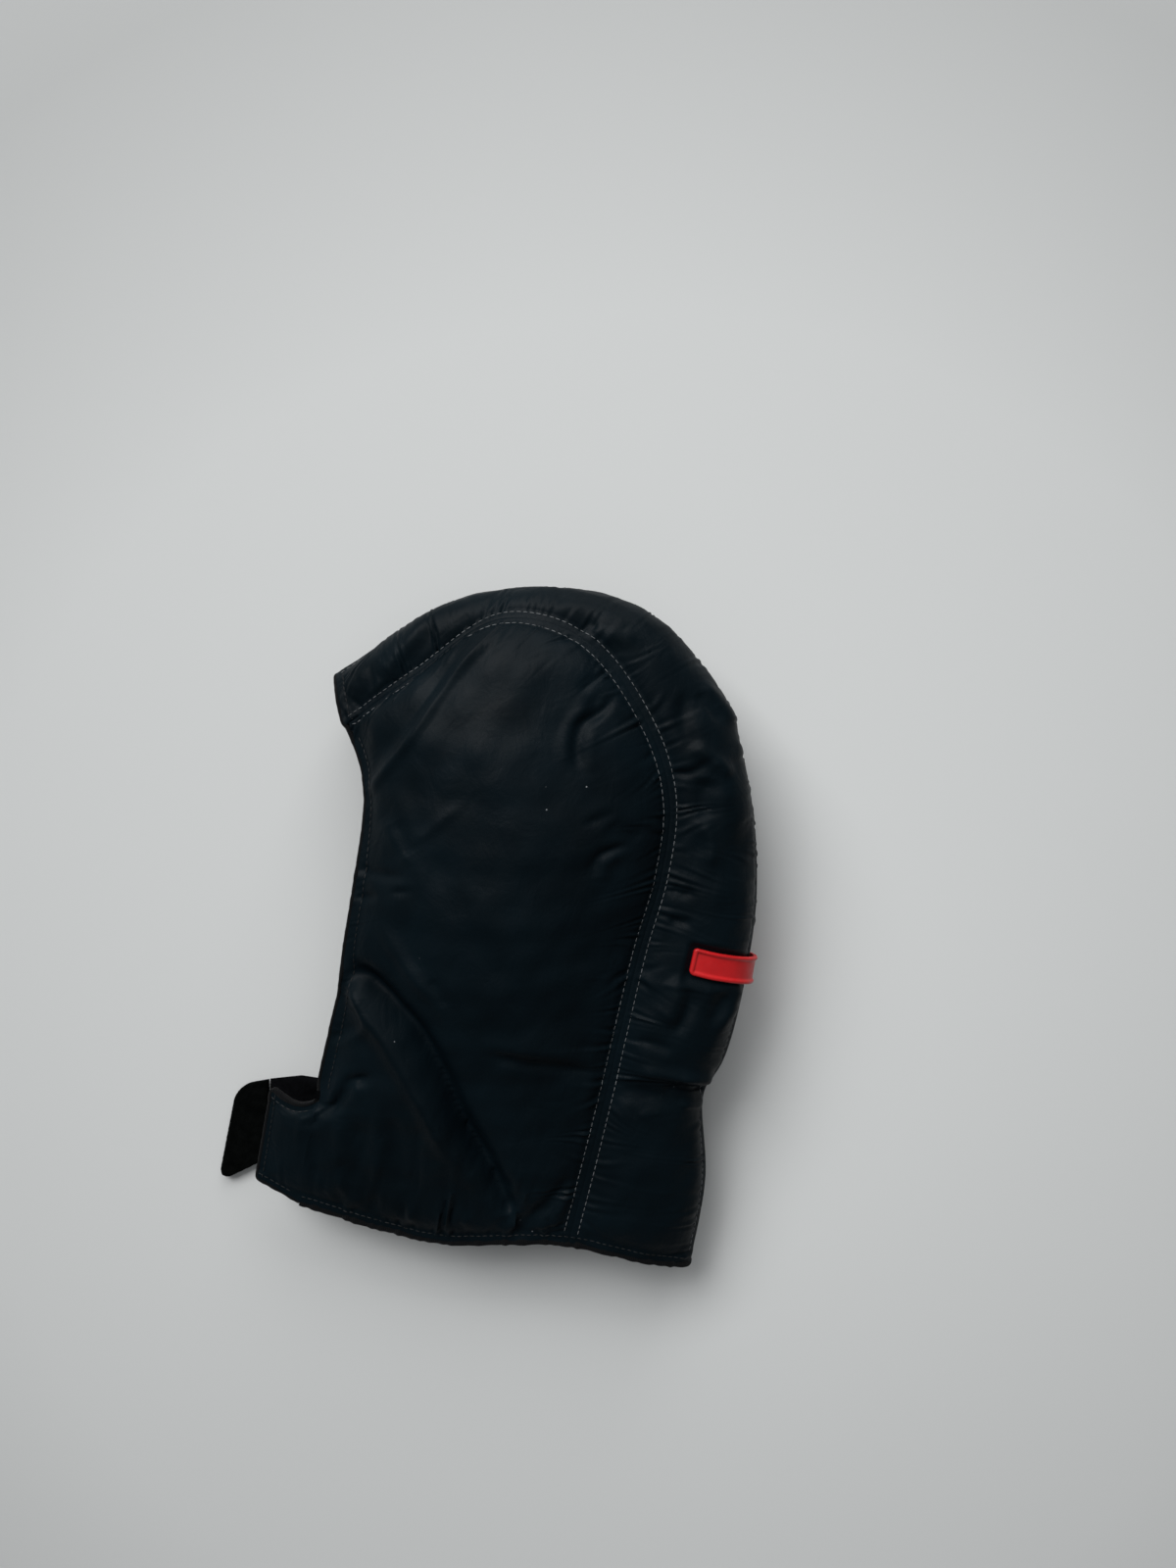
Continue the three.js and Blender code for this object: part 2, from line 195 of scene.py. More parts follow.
def lining_point(u, v):
    """Points of the lining's inner face at arrays u and v of one shape."""
    flat_u, flat_v = np.ravel(u), np.ravel(v)
    sections = cross_sections(flat_u)
    out = np.stack([spline(sections[k], [flat_v[k] / 8])[0] for k in range(len(flat_u))])
    return out.reshape(np.shape(u) + (3,))


def normals_of(grid):
    """Outward unit normals of a point grid [row v, column u]."""
    along = np.gradient(grid, axis=1)
    across = np.gradient(grid, axis=0)
    n = np.cross(along, across)
    length = np.linalg.norm(n, axis=-1, keepdims=True)
    return n / np.maximum(length, 1e-9)


def keep_above(grid, height=0.0):
    """Lifts every point that lies lower than a height up to it."""
    grid[..., 2] = np.maximum(grid[..., 2], height)


def unit(v):
    """Vectors at length 1."""
    return v / np.maximum(np.linalg.norm(v, axis=-1, keepdims=True), 1e-9)


def arc(grid, axis):
    """Running length along a grid's rows or columns."""
    step = np.linalg.norm(np.diff(grid, axis=axis), axis=-1)
    zero = np.zeros_like(np.take(step, [0], axis))
    return np.concatenate([zero, np.cumsum(step, axis)], axis)


class Panel:
    """One panel of the hood as a grid of points, with rows at set distances from its two long seams."""

    def __init__(self, start, rows, columns, near):
        ends = np.array([0, 0.0042, 0.0085])
        self.u = np.concatenate([ends, np.linspace(0.0125, 0.9875, columns - 6), 1 - ends[::-1]])
        self.u[np.abs(self.u - CHIN).argmin()] = CHIN
        self.start = start
        fine = np.linspace(start, start + 2, 41)
        sections = cross_sections(self.u)
        dense = spline(sections, fine / 8)  # [column, row]
        length = arc(dense, 1)
        width = length[:, -1]
        near = np.array(near)
        grid = []
        for k, total in enumerate(width):
            scale = min(1.0, total / (near[-1] * 2.6))
            inside = np.linspace(near[-1] * scale, total - near[-1] * scale, rows - 2 * len(near) + 2)
            at = np.concatenate([near[:-1] * scale, inside, total - near[-2::-1] * scale])
            v = np.interp(at, length[k], fine)
            grid.append(spline(sections[k], v / 8))
        self.inner = np.stack(grid, 1)  # [row, column]
        self.normal = normals_of(self.inner)
        across = arc(self.inner, 0)
        self.to_low = across  # from the seam at v = start
        self.to_high = across[-1:] - across
        along = arc(self.inner, 1)
        self.to_brow = along
        self.to_hem = along[:, -1:] - along


# ---------------------------------------------------------------- folds
# Height in mm (a ridge above 0, a valley below), half width in mm, and the line it follows over the upper
# half of the hood, as seen from above.
FOLDS = (
    (-8.8, 5.2, ((-67.5, -19.5), (-55, -18), (-47, -24), (-36.5, -35.5), (-24.5, -52), (-16, -69),
        (-4.5, -96), (7, -116.5), (15.5, -137), (17, -142))),
    (-2.2, 12.0, ((-34.5, -33), (-23, -51), (-14, -68), (-2.5, -94), (8, -115))),
    (4.6, 6.0, ((-63, -24), (-57, -27.5), (-50, -37.5), (-41.5, -49.5), (-32, -66), (-23.5, -81),
        (-14, -100), (-4, -119))),
    (1.6, 3.5, ((-44.5, 9), (-35.5, -5.5), (-26, -18.5), (-15.5, -29.5), (-11, -40.5), (-8, -52.5))),
    (-1.2, 2.6, ((-19, -18), (-15, -24.5), (-11.5, -31.5))),
    (1.2, 2.6, ((-62, -19.5), (-56.5, -29), (-52.5, -39.5), (-53.5, -44.5), (-63.5, -51.5), (-70.5, -57.5))),
    (-1.4, 3.0, ((-69.5, -51.5), (-62, -47.5), (-57, -42))),
    (-3.2, 3.0, ((-50.5, -68.5), (-55, -70.5), (-61.5, -72.5), (-65.5, -79.5), (-71, -86.5), (-78.5, -91),
        (-84.5, -98))),
    (2.0, 2.8, ((-65.5, -68.5), (-69, -76), (-73.5, -84), (-83, -90.5), (-86, -91.5), (-88.5, -100.5),
        (-89, -116))),
    (1.3, 3.6, ((-67.5, -91.5), (-68, -104.5), (-69.5, -117.5))),
    (1.5, 4.0, ((-46.5, -87.5), (-48.5, -103), (-50, -124.5))),
    (1.3, 6.0, ((-19, -93.5), (-18.5, -105), (-17, -120))),
    (-1.6, 3.6, ((-82, -98), (-81.5, -111), (-81, -126.5))),
    (-1.5, 4.5, ((-58, -93), (-58.5, -108.5), (-60.5, -127.5))),
    (-1.7, 4.0, ((-40.5, -89), (-39, -107.5), (-37, -129))),
    (-2.2, 3.6, ((9, -55), (18.5, -58.5), (27.5, -61), (40.5, -62.5), (50, -65), (58, -67.5))),
    (1.0, 4.5, ((8.5, -50), (28, -55), (51.5, -59))),
    (-2.6, 3.2, ((44, -123.5), (36, -135), (28.5, -142), (23, -149), (21.5, -154))),
    (1.4, 3.0, ((48, -129), (40, -139.5), (33, -147))),
    (-2.0, 2.4, ((75, 46), (68.5, 44), (62.5, 41.5), (59.5, 37.5), (59.5, 30.5))),
    (1.0, 3.0, ((72, 41.5), (66.5, 39.5), (63, 34), (63, 28.5))),
    (-1.4, 3.0, ((56, 55.5), (59.5, 57.5), (68, 61))),
    (-1.5, 4.0, ((66.5, 56.5), (72, 52), (82.5, 49.5))),
    (-1.4, 2.2, ((62, 127), (56.5, 122), (54.5, 118.5))),
    (-2.6, 3.2, ((63.5, 120), (59, 111.5), (58, 107), (53.5, 103.5), (51, 96.5), (51, 87.5), (53, 81.5))),
    (-2.4, 2.2, ((68, 116.5), (62.5, 108.5), (58, 106))),
    (1.3, 3.2, ((56, 111), (49, 103.5), (46.5, 93), (48, 79.5))),
    (1.2, 4.0, ((60, 100), (56, 91), (57, 79.5))),
    (2.2, 3.2, ((11, 146.5), (4, 139.5), (-5, 130), (-15, 116), (-25.5, 100.5), (-37, 86.5), (-47.5, 75),
        (-51, 71))),
    (-2.0, 7.0, ((-4.5, 138.5), (-13.5, 126), (-25, 111), (-36.5, 97.5), (-47.5, 85.5))),
    (-1.6, 2.8, ((-57, 33.5), (-52.5, 34), (-47, 32), (-38.5, 31), (-30.5, 30.5))),
    (-1.4, 2.4, ((-58, 19.5), (-52.5, 20.5), (-45.5, 20.5))),
    (-1.0, 2.0, ((-36.5, 24), (-33, 23.5), (-29, 24.5))),
    (1.2, 4.0, ((-42, 59), (-37, 51.5), (-32, 42.5), (-27.5, 35.5))),
    (-1.2, 4.0, ((-36, 57), (-31.5, 48), (-27.5, 41.5))),
    (0.9, 3.0, ((-26.5, 47), (-19.5, 52), (-13, 57.5), (-3.5, 65))),
    (-1.4, 3.0, ((49.5, 147.5), (55.5, 150.5), (61, 151.5))),
    (1.3, 4.5, ((37.5, 161), (56, 159), (75, 150.5))),
    (1.4, 4.0, ((56, 146), (68, 146), (79, 143))),
    (-1.8, 4.4, ((-41.5, 131), (-48.5, 124.5), (-55, 117.5), (-59, 111.5))),
    (1.6, 4.0, ((-22, 155), (-30, 144.5), (-39.5, 133.5), (-48.5, 123), (-57, 112.5))),
    (-0.9, 4.4, ((-18.5, 151.5), (-25, 140.5), (-33.5, 130.5))),
    (-2.2, 4.5, ((103, 118.5), (102, 107), (104.5, 97), (109, 92))),
    (2.2, 3.6, ((105, 95), (114, 88), (120, 83.5), (125.5, 78.5))),
    (-1.8, 2.6, ((97.5, 80.5), (103.5, 80), (109, 82), (116, 86.5))),
    (-2.6, 6.5, ((114, 77.5), (112.5, 68), (114, 57))),
    (1.8, 4.0, ((109.5, 57), (115, 50), (116, 42.5), (114, 35))),
    (1.8, 3.6, ((111.5, 123.5), (117.5, 118), (124.5, 110.5), (133.5, 103))),
    (-1.6, 3.6, ((109.5, 119.5), (115, 113), (122, 104.5))),
    (-1.6, 3.0, ((96, 25), (102.5, 21.5), (107.5, 23.5))),
    (-1.4, 2.4, ((96, 8.5), (101, 8), (106.5, 8))),
    (2.4, 6.0, ((94.5, -21), (99.5, -27.5), (96.5, -35.5), (92, -41))),
    (-2.0, 3.5, ((104, -24), (105.5, -31.5), (103, -40.5), (98.5, -47))),
    (2.0, 4.0, ((120, -47.5), (125.5, -39.5), (130, -31), (134, -26))),
    (-1.6, 4.0, ((115, -44), (120, -35.5), (124.5, -28.5))),
    (-2.6, 3.4, ((75.5, -72), (85.5, -73), (95, -74), (105, -76), (114, -80))),
    (1.6, 4.0, ((81.5, -66.5), (93, -68.5), (105, -70.5))),
    (-1.4, 3.0, ((80.5, -50), (89, -53), (97.5, -55))),
    (-3.4, 2.2, ((119, -81), (112, -79.5), (103, -77.5), (93, -76.5))),
    (2.6, 3.2, ((119, -74), (111, -72), (101, -70.5))),
    (1.8, 3.0, ((118, -88), (110, -86), (101, -84))),
)


def fold_height(points, depth):
    """How far the folds lift or sink points of the hood's upper half."""
    plan = points[..., :2]
    lift = np.zeros(plan.shape[:-1])
    for height, half_width, line in FOLDS:
        line = spline([[x, y, 0] for x, y in line], np.linspace(0, 1, 7 * len(line)))[:, :2]
        low, high = line.min(0) - 4 * half_width, line.max(0) + 4 * half_width
        inside = np.all((plan > low) & (plan < high), -1)
        if not inside.any():
            continue
        p = plan[inside]
        a, b = line[:-1], line[1:]
        d = b - a
        t = np.clip(((p[:, None] - a) * d).sum(-1) / (d * d).sum(-1), 0, 1)
        gap = np.linalg.norm(p[:, None] - (a + t[..., None] * d), axis=-1)
        nearest = gap.argmin(1)
        rows = np.arange(len(p))
        along = (nearest + t[rows, nearest]) / len(a)
        taper = np.minimum(1, 4.5 * np.minimum(along + 0.03, 1.03 - along)) ** 0.8
        g = gap[rows, nearest] / half_width
        profile = np.exp(-(np.abs(g) ** 1.8)) if height < 0 else np.exp(-(g**2))
        lift[inside] += height * taper * profile
    return lift * depth


def undulation(points, seed, size):
    """Soft, seeded unevenness of the wadding, about -1 to 1, from a few plane waves."""
    rng = np.random.default_rng(seed)
    total = np.zeros(points.shape[:-1])
    for k in range(9):
        direction = rng.normal(size=3)
        direction /= np.linalg.norm(direction)
        wavelength = size * rng.uniform(0.6, 1.7)
        total += np.sin(points @ direction * (2 * math.pi / wavelength) + rng.uniform(0, 6.28))
    return total / 3.2


def line_noise(along, seed, wavelengths):
    """Seeded waves along a seam, about -1 to 1."""
    rng = np.random.default_rng(seed)
    total = np.zeros(np.shape(along))
    for wavelength in wavelengths:
        drift = 0.8 * np.sin(along / (wavelength * rng.uniform(5, 9)) + rng.uniform(0, 6.28))
        total += np.sin(2 * math.pi * along / wavelength + drift * 2.2 + rng.uniform(0, 6.28))
    return total / (0.62 * len(wavelengths))


def gathers(gap, along, seed, height, reach, pitch=1.0):
    """Puckers that run off a stitched seam: short folds side by side, each of its own length."""
    own = np.clip(0.62 + 0.75 * line_noise(along, seed + 1, (17, 9.5, 26)), 0.12, 1.5)
    skewed = along + gap * 0.35 * line_noise(along, seed + 2, (60, 33))
    fold = np.tanh(1.15 * line_noise(skewed, seed, np.array((3.9, 5.1, 6.7)) * pitch))
    past = np.maximum(gap - SEAM_ALLOWANCE, 0)
    return height * fold * own * np.exp(-past / (reach * (0.35 + own))) * smooth(2.2, 5.0, gap)


# ---------------------------------------------------------------- meshes
SHARP_ANGLE = 62  # degrees between faces that stay sharp


def add_object(name, bm, material):
    """Turns a bmesh into a smooth-shaded object in the scene."""
    mesh = bpy.data.meshes.new(name)
    bm.to_mesh(mesh)
    bm.free()
    obj = bpy.data.objects.new(name, mesh)
    bpy.context.scene.collection.objects.link(obj)
    mesh.polygons.foreach_set("use_smooth", [True] * len(mesh.polygons))
    mesh.set_sharp_from_angle(angle=math.radians(SHARP_ANGLE))
    if material:
        mesh.materials.append(material)
    return obj


def grid_bmesh(points):
    """An open sheet through a point grid [row, column], whose points keep their order."""
    rows, columns = points.shape[:2]
    bm = bmesh.new()
    bm.loops.layers.uv.new("UVMap")
    order = bm.verts.layers.int.new("order")
    bmesh.ops.create_grid(bm, x_segments=columns - 1, y_segments=rows - 1, size=1, calc_uvs=True)
    for k, (vert, p) in enumerate(zip(bm.verts, points.reshape(-1, 3) * MM)):
        vert.co = p
        vert[order] = k
    return bm


def closed_sheet(name, outer, inner, material):
    """A closed layer of cloth between two point grids of one size."""
    bm = grid_bmesh(inner)
    order = bm.verts.layers.int["order"]
    made = bmesh.ops.extrude_face_region(bm, geom=bm.faces[:] + bm.edges[:], use_keep_orig=True)
    targets = outer.reshape(-1, 3) * MM
    for item in made["geom"]:
        if isinstance(item, bmesh.types.BMVert):
            item.co = targets[item[order]]
    bmesh.ops.recalc_face_normals(bm, faces=bm.faces[:])
    return add_object(name, bm, material)


def finer(grid):
    """The same sheet with twice the columns, rounded between them."""
    g = grid.swapaxes(0, 1)
    padded = np.concatenate([2 * g[:1] - g[1:2], g, 2 * g[-1:] - g[-2:-1]])
    middle = (9 * (padded[1:-2] + padded[2:-1]) - padded[:-3] - padded[3:]) / 16
    out = np.empty((2 * len(g) - 1,) + g.shape[1:])
    out[::2], out[1::2] = g, middle
    return out.swapaxes(0, 1)


# ---------------------------------------------------------------- the padded skin
SEAM_ROWS = (0, 1.75, 3.5, 5.2, 7.2)
SIDE_ROWS, BACK_ROWS, COLUMNS = 71, 45, 300
PANELS = ("left_side", "left_back", "right_back", "right_side")
SKIN = {}


def gaps_of(panel, name):
    """Distances of each point of a panel from its bound edge, its seams and its two ends."""
    low, high, end = panel.to_low, panel.to_high, np.minimum(panel.to_brow, panel.to_hem)
    if name.endswith("back"):
        return np.full_like(low, FAR), np.minimum(low, high), end
    return (low, high, end) if name.startswith("left") else (high, low, end)


def outward_thickness(panel, name):
    """Thickness of all layers: sewn flat at seams and edges, full between them."""
    side = name.endswith("side")
    edge_gap, seam_gap, end_gap = gaps_of(panel, name)
    if side:
        unbound = 22.0 if name.startswith("left") else 30.0
        edge_gap = edge_gap + smooth(CHIN + 0.002, CHIN + 0.03, panel.u) * unbound

    def puff(gap, sewn, reach):
        return 1 - np.exp(-np.maximum(gap - sewn, 0) / reach)

    swell = puff(edge_gap, EDGE_ALLOWANCE, 9) * puff(end_gap, EDGE_ALLOWANCE, 9)
    full = lerp(STITCHED, FULL, swell * puff(seam_gap, SEAM_ALLOWANCE, 8))
    # a ridge between seam and topstitching, and a groove at each of them
    for height, place, width in ((0.2, 1.9, 1.1), (-0.25, 0.0, 0.5), (-0.3, SEAM_ALLOWANCE, 0.7)):
        full += height * np.exp(-(((seam_gap - place) / width) ** 2))
    if not side:
        pinch = 1 - 0.75 * np.exp(-(((panel.u - NAPE) / 0.016) ** 2))
        full = lerp(STITCHED, full, pinch[None, :])
    return full


def tab_gap(panel, name):
    """Distance of each point from the rubber tab's footprint, in mm."""
    to_centre = panel.to_high if name == "left_back" else panel.to_low
    past_end = to_centre - TAB_LENGTH / 2
    past_side = np.abs(panel.u - TAB_AT)[None, :] * panel.to_hem[:, :1] - TAB_HEIGHT / 2
    return np.hypot(np.maximum(past_end, 0), np.maximum(past_side, 0))


def left_flap_grid(u):
    """The left throat flap's lining face: rows from its front edge (0) to the hinge line."""
    b = (u - CHIN) / (1 - CHIN)
    top = np.array([PATTERN[2][9], np.add(FLAP_FRONT_TOP, SHIFT)])
    bottom = np.array([PATTERN[2][11], np.add(FLAP_FRONT_BOTTOM, SHIFT)])
    hinge = spline(PATTERN[2], u)
    a = np.linspace(1, 0, FLAP_ROWS)[:, None, None]
    upper = lerp(top[0], top[1], a)
    upper = np.repeat(upper, len(u), 1)
    upper[..., 1] -= CHIN_DIP * 4 * (a * (1 - a))[..., 0] * (1 - b)[None, :]
    lower = lerp(bottom[0], bottom[1], a)
    flat = lerp(upper, lower, b[None, :, None])
    straight = lerp(top[0], bottom[0], b[:, None])
    return flat + (1 - a) * (hinge - straight)[None]


def reach_out(points, by, axis, last):
    """Stretches a sheet past one edge by a set length, over the strip beside it."""
    g = points.swapaxes(0, 1) if axis else points
    g = g[::-1] if last else g
    gap = arc(g, 0)
    away = unit(g[0] - g[4])
    g = g + away[None] * (by * np.maximum(0, 1 - gap / EDGE_STRIP))[..., None]
    g = g[::-1] if last else g
    return g.swapaxes(0, 1) if axis else g


def make_skin(fold_depth, slack, settle):
    """Works out the hood's outer and inner point grids, and settles the outer ones as cloth."""
    panels = {
        name: Panel(2 * k, SIDE_ROWS if name.endswith("side") else BACK_ROWS, COLUMNS, SEAM_ROWS)
        for k, name in enumerate(PANELS)
    }
    grids = {}
    for name, panel in panels.items():
        full = outward_thickness(panel, name)
        inner, normal = panel.inner, panel.normal
        if name.endswith("side"):  # the narrow tip at the brow takes its neighbours' normals
            tip = np.searchsorted(panel.u, 0.02)
            normal[:, :tip] = normal[:, tip : tip + 1]
        away = np.minimum(panel.to_low, panel.to_high)
        soft = smooth(2, 16, away)
        full = full + soft * (0.9 * undulation(inner, 11, 46) + 0.35 * undulation(inner, 12, 17))
        dented = TAB_DENT + 0.8 * tab_gap(panel, name) if name.endswith("back") else np.inf
        lift = np.zeros_like(full)
        if name.startswith("left"):
            lift = fold_height(inner + normal * full[..., None], fold_depth)
            hinged = smooth(CHIN, CHIN + 0.01, panel.u)[None, :] if name == "left_side" else 0
            lift *= np.maximum(smooth(0.6, 4.5, away), smooth(0.6, 4.5, panel.to_high) * hinged)
        lining_lift = np.minimum(0.55 * lift, 0.5)
        full = np.clip(full + lift, THINNEST + lining_lift, dented)
        outer = inner + normal * full[..., None]
        inner = inner + normal * lining_lift[..., None]
        if name.endswith("side"):
            edge_is_last = name == "right_side"
            by = EDGE_REACH * (1 - smooth(CHIN - 0.03, CHIN - 0.004, panel.u)) * smooth(0.0, 0.02, panel.u)
            outer, inner = (reach_out(g, by, 0, edge_is_last) for g in (outer, inner))
        else:
            outer, inner = (reach_out(g, EDGE_REACH + 0.8, 1, False) for g in (outer, inner))
        outer, inner = (reach_out(g, EDGE_REACH, 1, True) for g in (outer, inner))
        keep_above(outer)
        keep_above(inner, LINING_CLEAR)
        grids[name] = {"outer": outer, "inner": inner, "panel": panel}
    # the flap continues the left side panel below the chin
    side = panels["left_side"]
    first = int(np.searchsorted(side.u, CHIN))
    u = side.u[first:]
    flap_inner = left_flap_grid(u)
    flap_inner[-1] = grids["left_side"]["inner"][0, first:]
    n = normals_of(flap_inner)
    n[-1] = side.normal[0, first:]
    to_front = arc(flap_inner, 0)
    to_top = arc(flap_inner, 1)
    to_hem = to_top[:, -1:] - to_top
    gap = np.minimum(np.minimum(to_front, to_top), to_hem)
    full = lerp(STITCHED, FLAP_THICK + 1.4, 1 - np.exp(-np.maximum(gap - 2.5, 0) / 6))
    hinge_full = np.linalg.norm(grids["left_side"]["outer"][0, first:] - flap_inner[-1], axis=-1)
    share = np.linspace(0, 1, FLAP_ROWS)[:, None] ** 2
    full = lerp(full, hinge_full[None, :], share)
    flap_outer = flap_inner + n * full[..., None]
    flap_outer += n * (fold_height(flap_outer, fold_depth) * smooth(1.5, 6, gap) * (1 - share))[..., None]
    flap_outer, flap_inner = (reach_out(g, EDGE_REACH * 1.2, 0, False) for g in (flap_outer, flap_inner))
    flap_outer, flap_inner = (reach_out(g, EDGE_REACH, 1, True) for g in (flap_outer, flap_inner))
    flap_outer[-1] = grids["left_side"]["outer"][0, first:]
    flap_inner[-1] = grids["left_side"]["inner"][0, first:]
    grids["left_flap"] = {"outer": flap_outer, "inner": flap_inner, "first": first}
    # neighbouring panels share their seam lines
    for a, b in zip(PANELS, PANELS[1:]):
        for key in ("outer", "inner"):
            middle = (grids[a][key][-1] + grids[b][key][0]) / 2
            grids[a][key][-1] = grids[b][key][0] = middle
    if settle:
        settle_cloth(grids, slack)
    gather_cloth(grids)
    SKIN.update(grids)


def gather_cloth(grids):
    """Adds the small puckers beside the stitching to the finely divided skin."""
    for seed, (name, grid) in enumerate(grids.items()):
        outer = finer(grid["outer"])
        inner = finer(grid["inner"])
        n = normals_of(outer)
        along = arc(outer, 1)
        low = arc(inner, 0)
        high = low[-1:] - low
        hem = along[:, -1:] - along
        if name == "left_flap":
            lift = gathers(np.minimum(low, hem), along, 90, 0.16, 4) + gathers(hem, low, 91, 0.3, 7)
        elif name.endswith("side"):
            seam, edge = (high, low) if name == "left_side" else (low, high)
            u = np.linspace(0, 1, outer.shape[1])
            open_edge = 1 - smooth(CHIN - 0.02, CHIN, u)[None, :]
            lift = gathers(seam, along[-1:] if name == "left_side" else along[:1], 10 + seed, 0.95, 6)
            lift = lift + gathers(edge + 1.5, along[:1], 20 + seed, 0.22, 4) * open_edge
            short = gathers(hem + 1, low[:, -1:], 30 + seed, 1.1, 10)
            long = gathers(hem + 1, low[:, -1:], 35 + seed, 1.8, 26, 1.9) * smooth(4, 14, hem)
            lift = lift + (short + long) * smooth(0, 14, edge) * smooth(0, 8, seam)
        else:
            room = smooth(18, 55, low[-1:])
            lift = gathers(low, along[:1], 40 + seed, 0.75, 8)
            lift = lift + gathers(high, along[-1:], 50 + seed, 0.65, 8) * room
            lift = lift + gathers(hem + 1, low[:, -1:], 60 + seed, 0.35, 7)
            lift = lift + gathers(along + 1, low[:, :1], 70 + seed, 0.5, 7)
        floor_side = smooth(0.0, 1.5, outer[..., 2])
        outer = outer + n * (lift * floor_side)[..., None]
        keep_above(outer)
        for edge in (0, -1):
            outer[edge] = finer(grid["outer"])[edge]
        if name.endswith("back"):  # the cloth stays flat under the rubber tab
            flat = smooth(0, 3, finer(tab_gap(grid["panel"], name)[..., None])[..., 0])
            outer = finer(grid["outer"]) + (outer - finer(grid["outer"])) * flat[..., None]
        grid["gathered"] = outer


CLOTH_SCALE = 20  # the cloth is settled this many times its size
LAST_FRAME, CACHED_FRAMES = 24, 30
FARTHEST_SHIFT = 2.6  # how far settling may move a point
CLOTH = {
    "quality": 5,
    "mass": 0.2,
    "tension_stiffness": 30,
    "compression_stiffness": 30,
    "shear_stiffness": 8,
    "bending_stiffness": 0.15,
    "tension_damping": 8,
    "compression_damping": 8,
    "shear_damping": 8,
    "bending_damping": 0.8,
    "air_damping": 6,
    "vertex_group_mass": "held",
    "pin_stiffness": 4,
    "vertex_group_shrink": "loose",
    "shrink_min": 0.0,
}


def settle_cloth(grids, slack):
    """Gathers the skin along its stitching: cloth with spare length near each seam, held at the stitches."""
    scale = CLOTH_SCALE * MM
    bm = bmesh.new()
    held = bm.verts.layers.float.new("held")
    loose = bm.verts.layers.float.new("loose")
    settled_names = [name for name in grids if name != "right_side"]
    for name in settled_names:
        grid = grids[name]
        outer = grid["outer"]
        rows, columns = outer.shape[:2]
        start = len(bm.verts)
        bmesh.ops.create_grid(bm, x_segments=columns - 1, y_segments=rows - 1, size=1)
        bm.verts.ensure_lookup_table()
        hold, slackness = hold_of(name, grid)
        for k in range(rows * columns):
            vert = bm.verts[start + k]
            vert.co = outer.reshape(-1, 3)[k] * scale
            vert[held] = hold.flat[k]
            vert[loose] = slackness.flat[k]
    bmesh.ops.remove_doubles(bm, verts=bm.verts[:], dist=scale * 0.02)
    bm.verts.ensure_lookup_table()
    weights = [(v[held], v[loose]) for v in bm.verts]
    start_co = np.array([v.co for v in bm.verts])
    cloth_obj = add_object("skin_at_work", bm, None)
    hold_group = cloth_obj.vertex_groups.new(name="held")
    loose_group = cloth_obj.vertex_groups.new(name="loose")
    for k, (h, s) in enumerate(weights):
        hold_group.add([k], h, "REPLACE")
        loose_group.add([k], s, "REPLACE")
    cloth = cloth_obj.modifiers.new("settle", "CLOTH")
    for key, value in CLOTH.items():
        setattr(cloth.settings, key, value)
    cloth.settings.shrink_max = -slack
    cloth.settings.effector_weights.gravity = 0
    cloth.collision_settings.use_collision = False
    scene = bpy.context.scene
    cloth.point_cache.frame_start, cloth.point_cache.frame_end = 1, CACHED_FRAMES
    for f in range(1, LAST_FRAME + 1):
        scene.frame_set(f)
    evaluated = cloth_obj.evaluated_get(bpy.context.evaluated_depsgraph_get())
    moved = np.zeros(len(start_co) * 3, np.float32)
    evaluated.data.vertices.foreach_get("co", moved)
    moved = moved.reshape(-1, 3).astype(float)
    shift = moved - start_co
    length = np.linalg.norm(shift, axis=1, keepdims=True)
    shift *= np.minimum(1, FARTHEST_SHIFT * scale / np.maximum(length, 1e-9))
    tree = KDTree(len(start_co))
    for k, p in enumerate(start_co):
        tree.insert(p, k)
    tree.balance()
    for name in settled_names:
        grid = grids[name]
        flat = grid["outer"].reshape(-1, 3)
        index = [tree.find(Vector(p * scale))[1] for p in flat]
        settled = (start_co[index] + shift[index]) / scale
        keep_above(settled)
        grid["outer"] = settled.reshape(grid["outer"].shape)
    bpy.data.objects.remove(cloth_obj)
    scene.frame_set(1)


def hold_of(name, grid):
    """How firmly each point is held (1 at the stitching), and how much spare length it has."""
    if name == "left_flap":
        to_front = arc(grid["outer"], 0)
        to_top = arc(grid["outer"], 1)
        gap = np.minimum(np.minimum(to_front, to_top), to_top[:, -1:] - to_top)
        hold = np.where(gap < 3.0, 1.0, 0.25)
        return hold, np.exp(-(gap / 9) ** 2)
    panel, side = grid["panel"], name.endswith("side")
    edge_gap, seam_gap, end_gap = gaps_of(panel, name)
    if side:
        edge_gap = edge_gap + smooth(CHIN, CHIN + 0.02, panel.u) * 40
    sewn = (seam_gap < 0.6) | (np.abs(seam_gap - SEAM_ALLOWANCE) < 0.75) | (edge_gap < 4.6) | (end_gap < 4.2)
    sewn |= panel.to_low + panel.to_high < 14
    if not side:
        sewn |= tab_gap(panel, name) < 2
    hold = np.where(sewn, 1.0, 0.04)
    if name.startswith("right"):  # the cloth under the hood hardly slides on the floor
        hold = np.where(grid["outer"][..., 2] < 0.4, np.maximum(hold, 0.9), hold)
    near = np.minimum(np.minimum(seam_gap, edge_gap * 1.4), end_gap)
    loose = np.exp(-((np.maximum(near - SEAM_ALLOWANCE, 0) / 9) ** 2))
    nape = np.exp(-(((panel.u - NAPE) / 0.03) ** 2))[None, :] * (0 if side else 1)
    return hold, np.clip(np.maximum(loose, nape), 0.12, 1)


# ---------------------------------------------------------------- colours and finishes
MATERIALS = {}


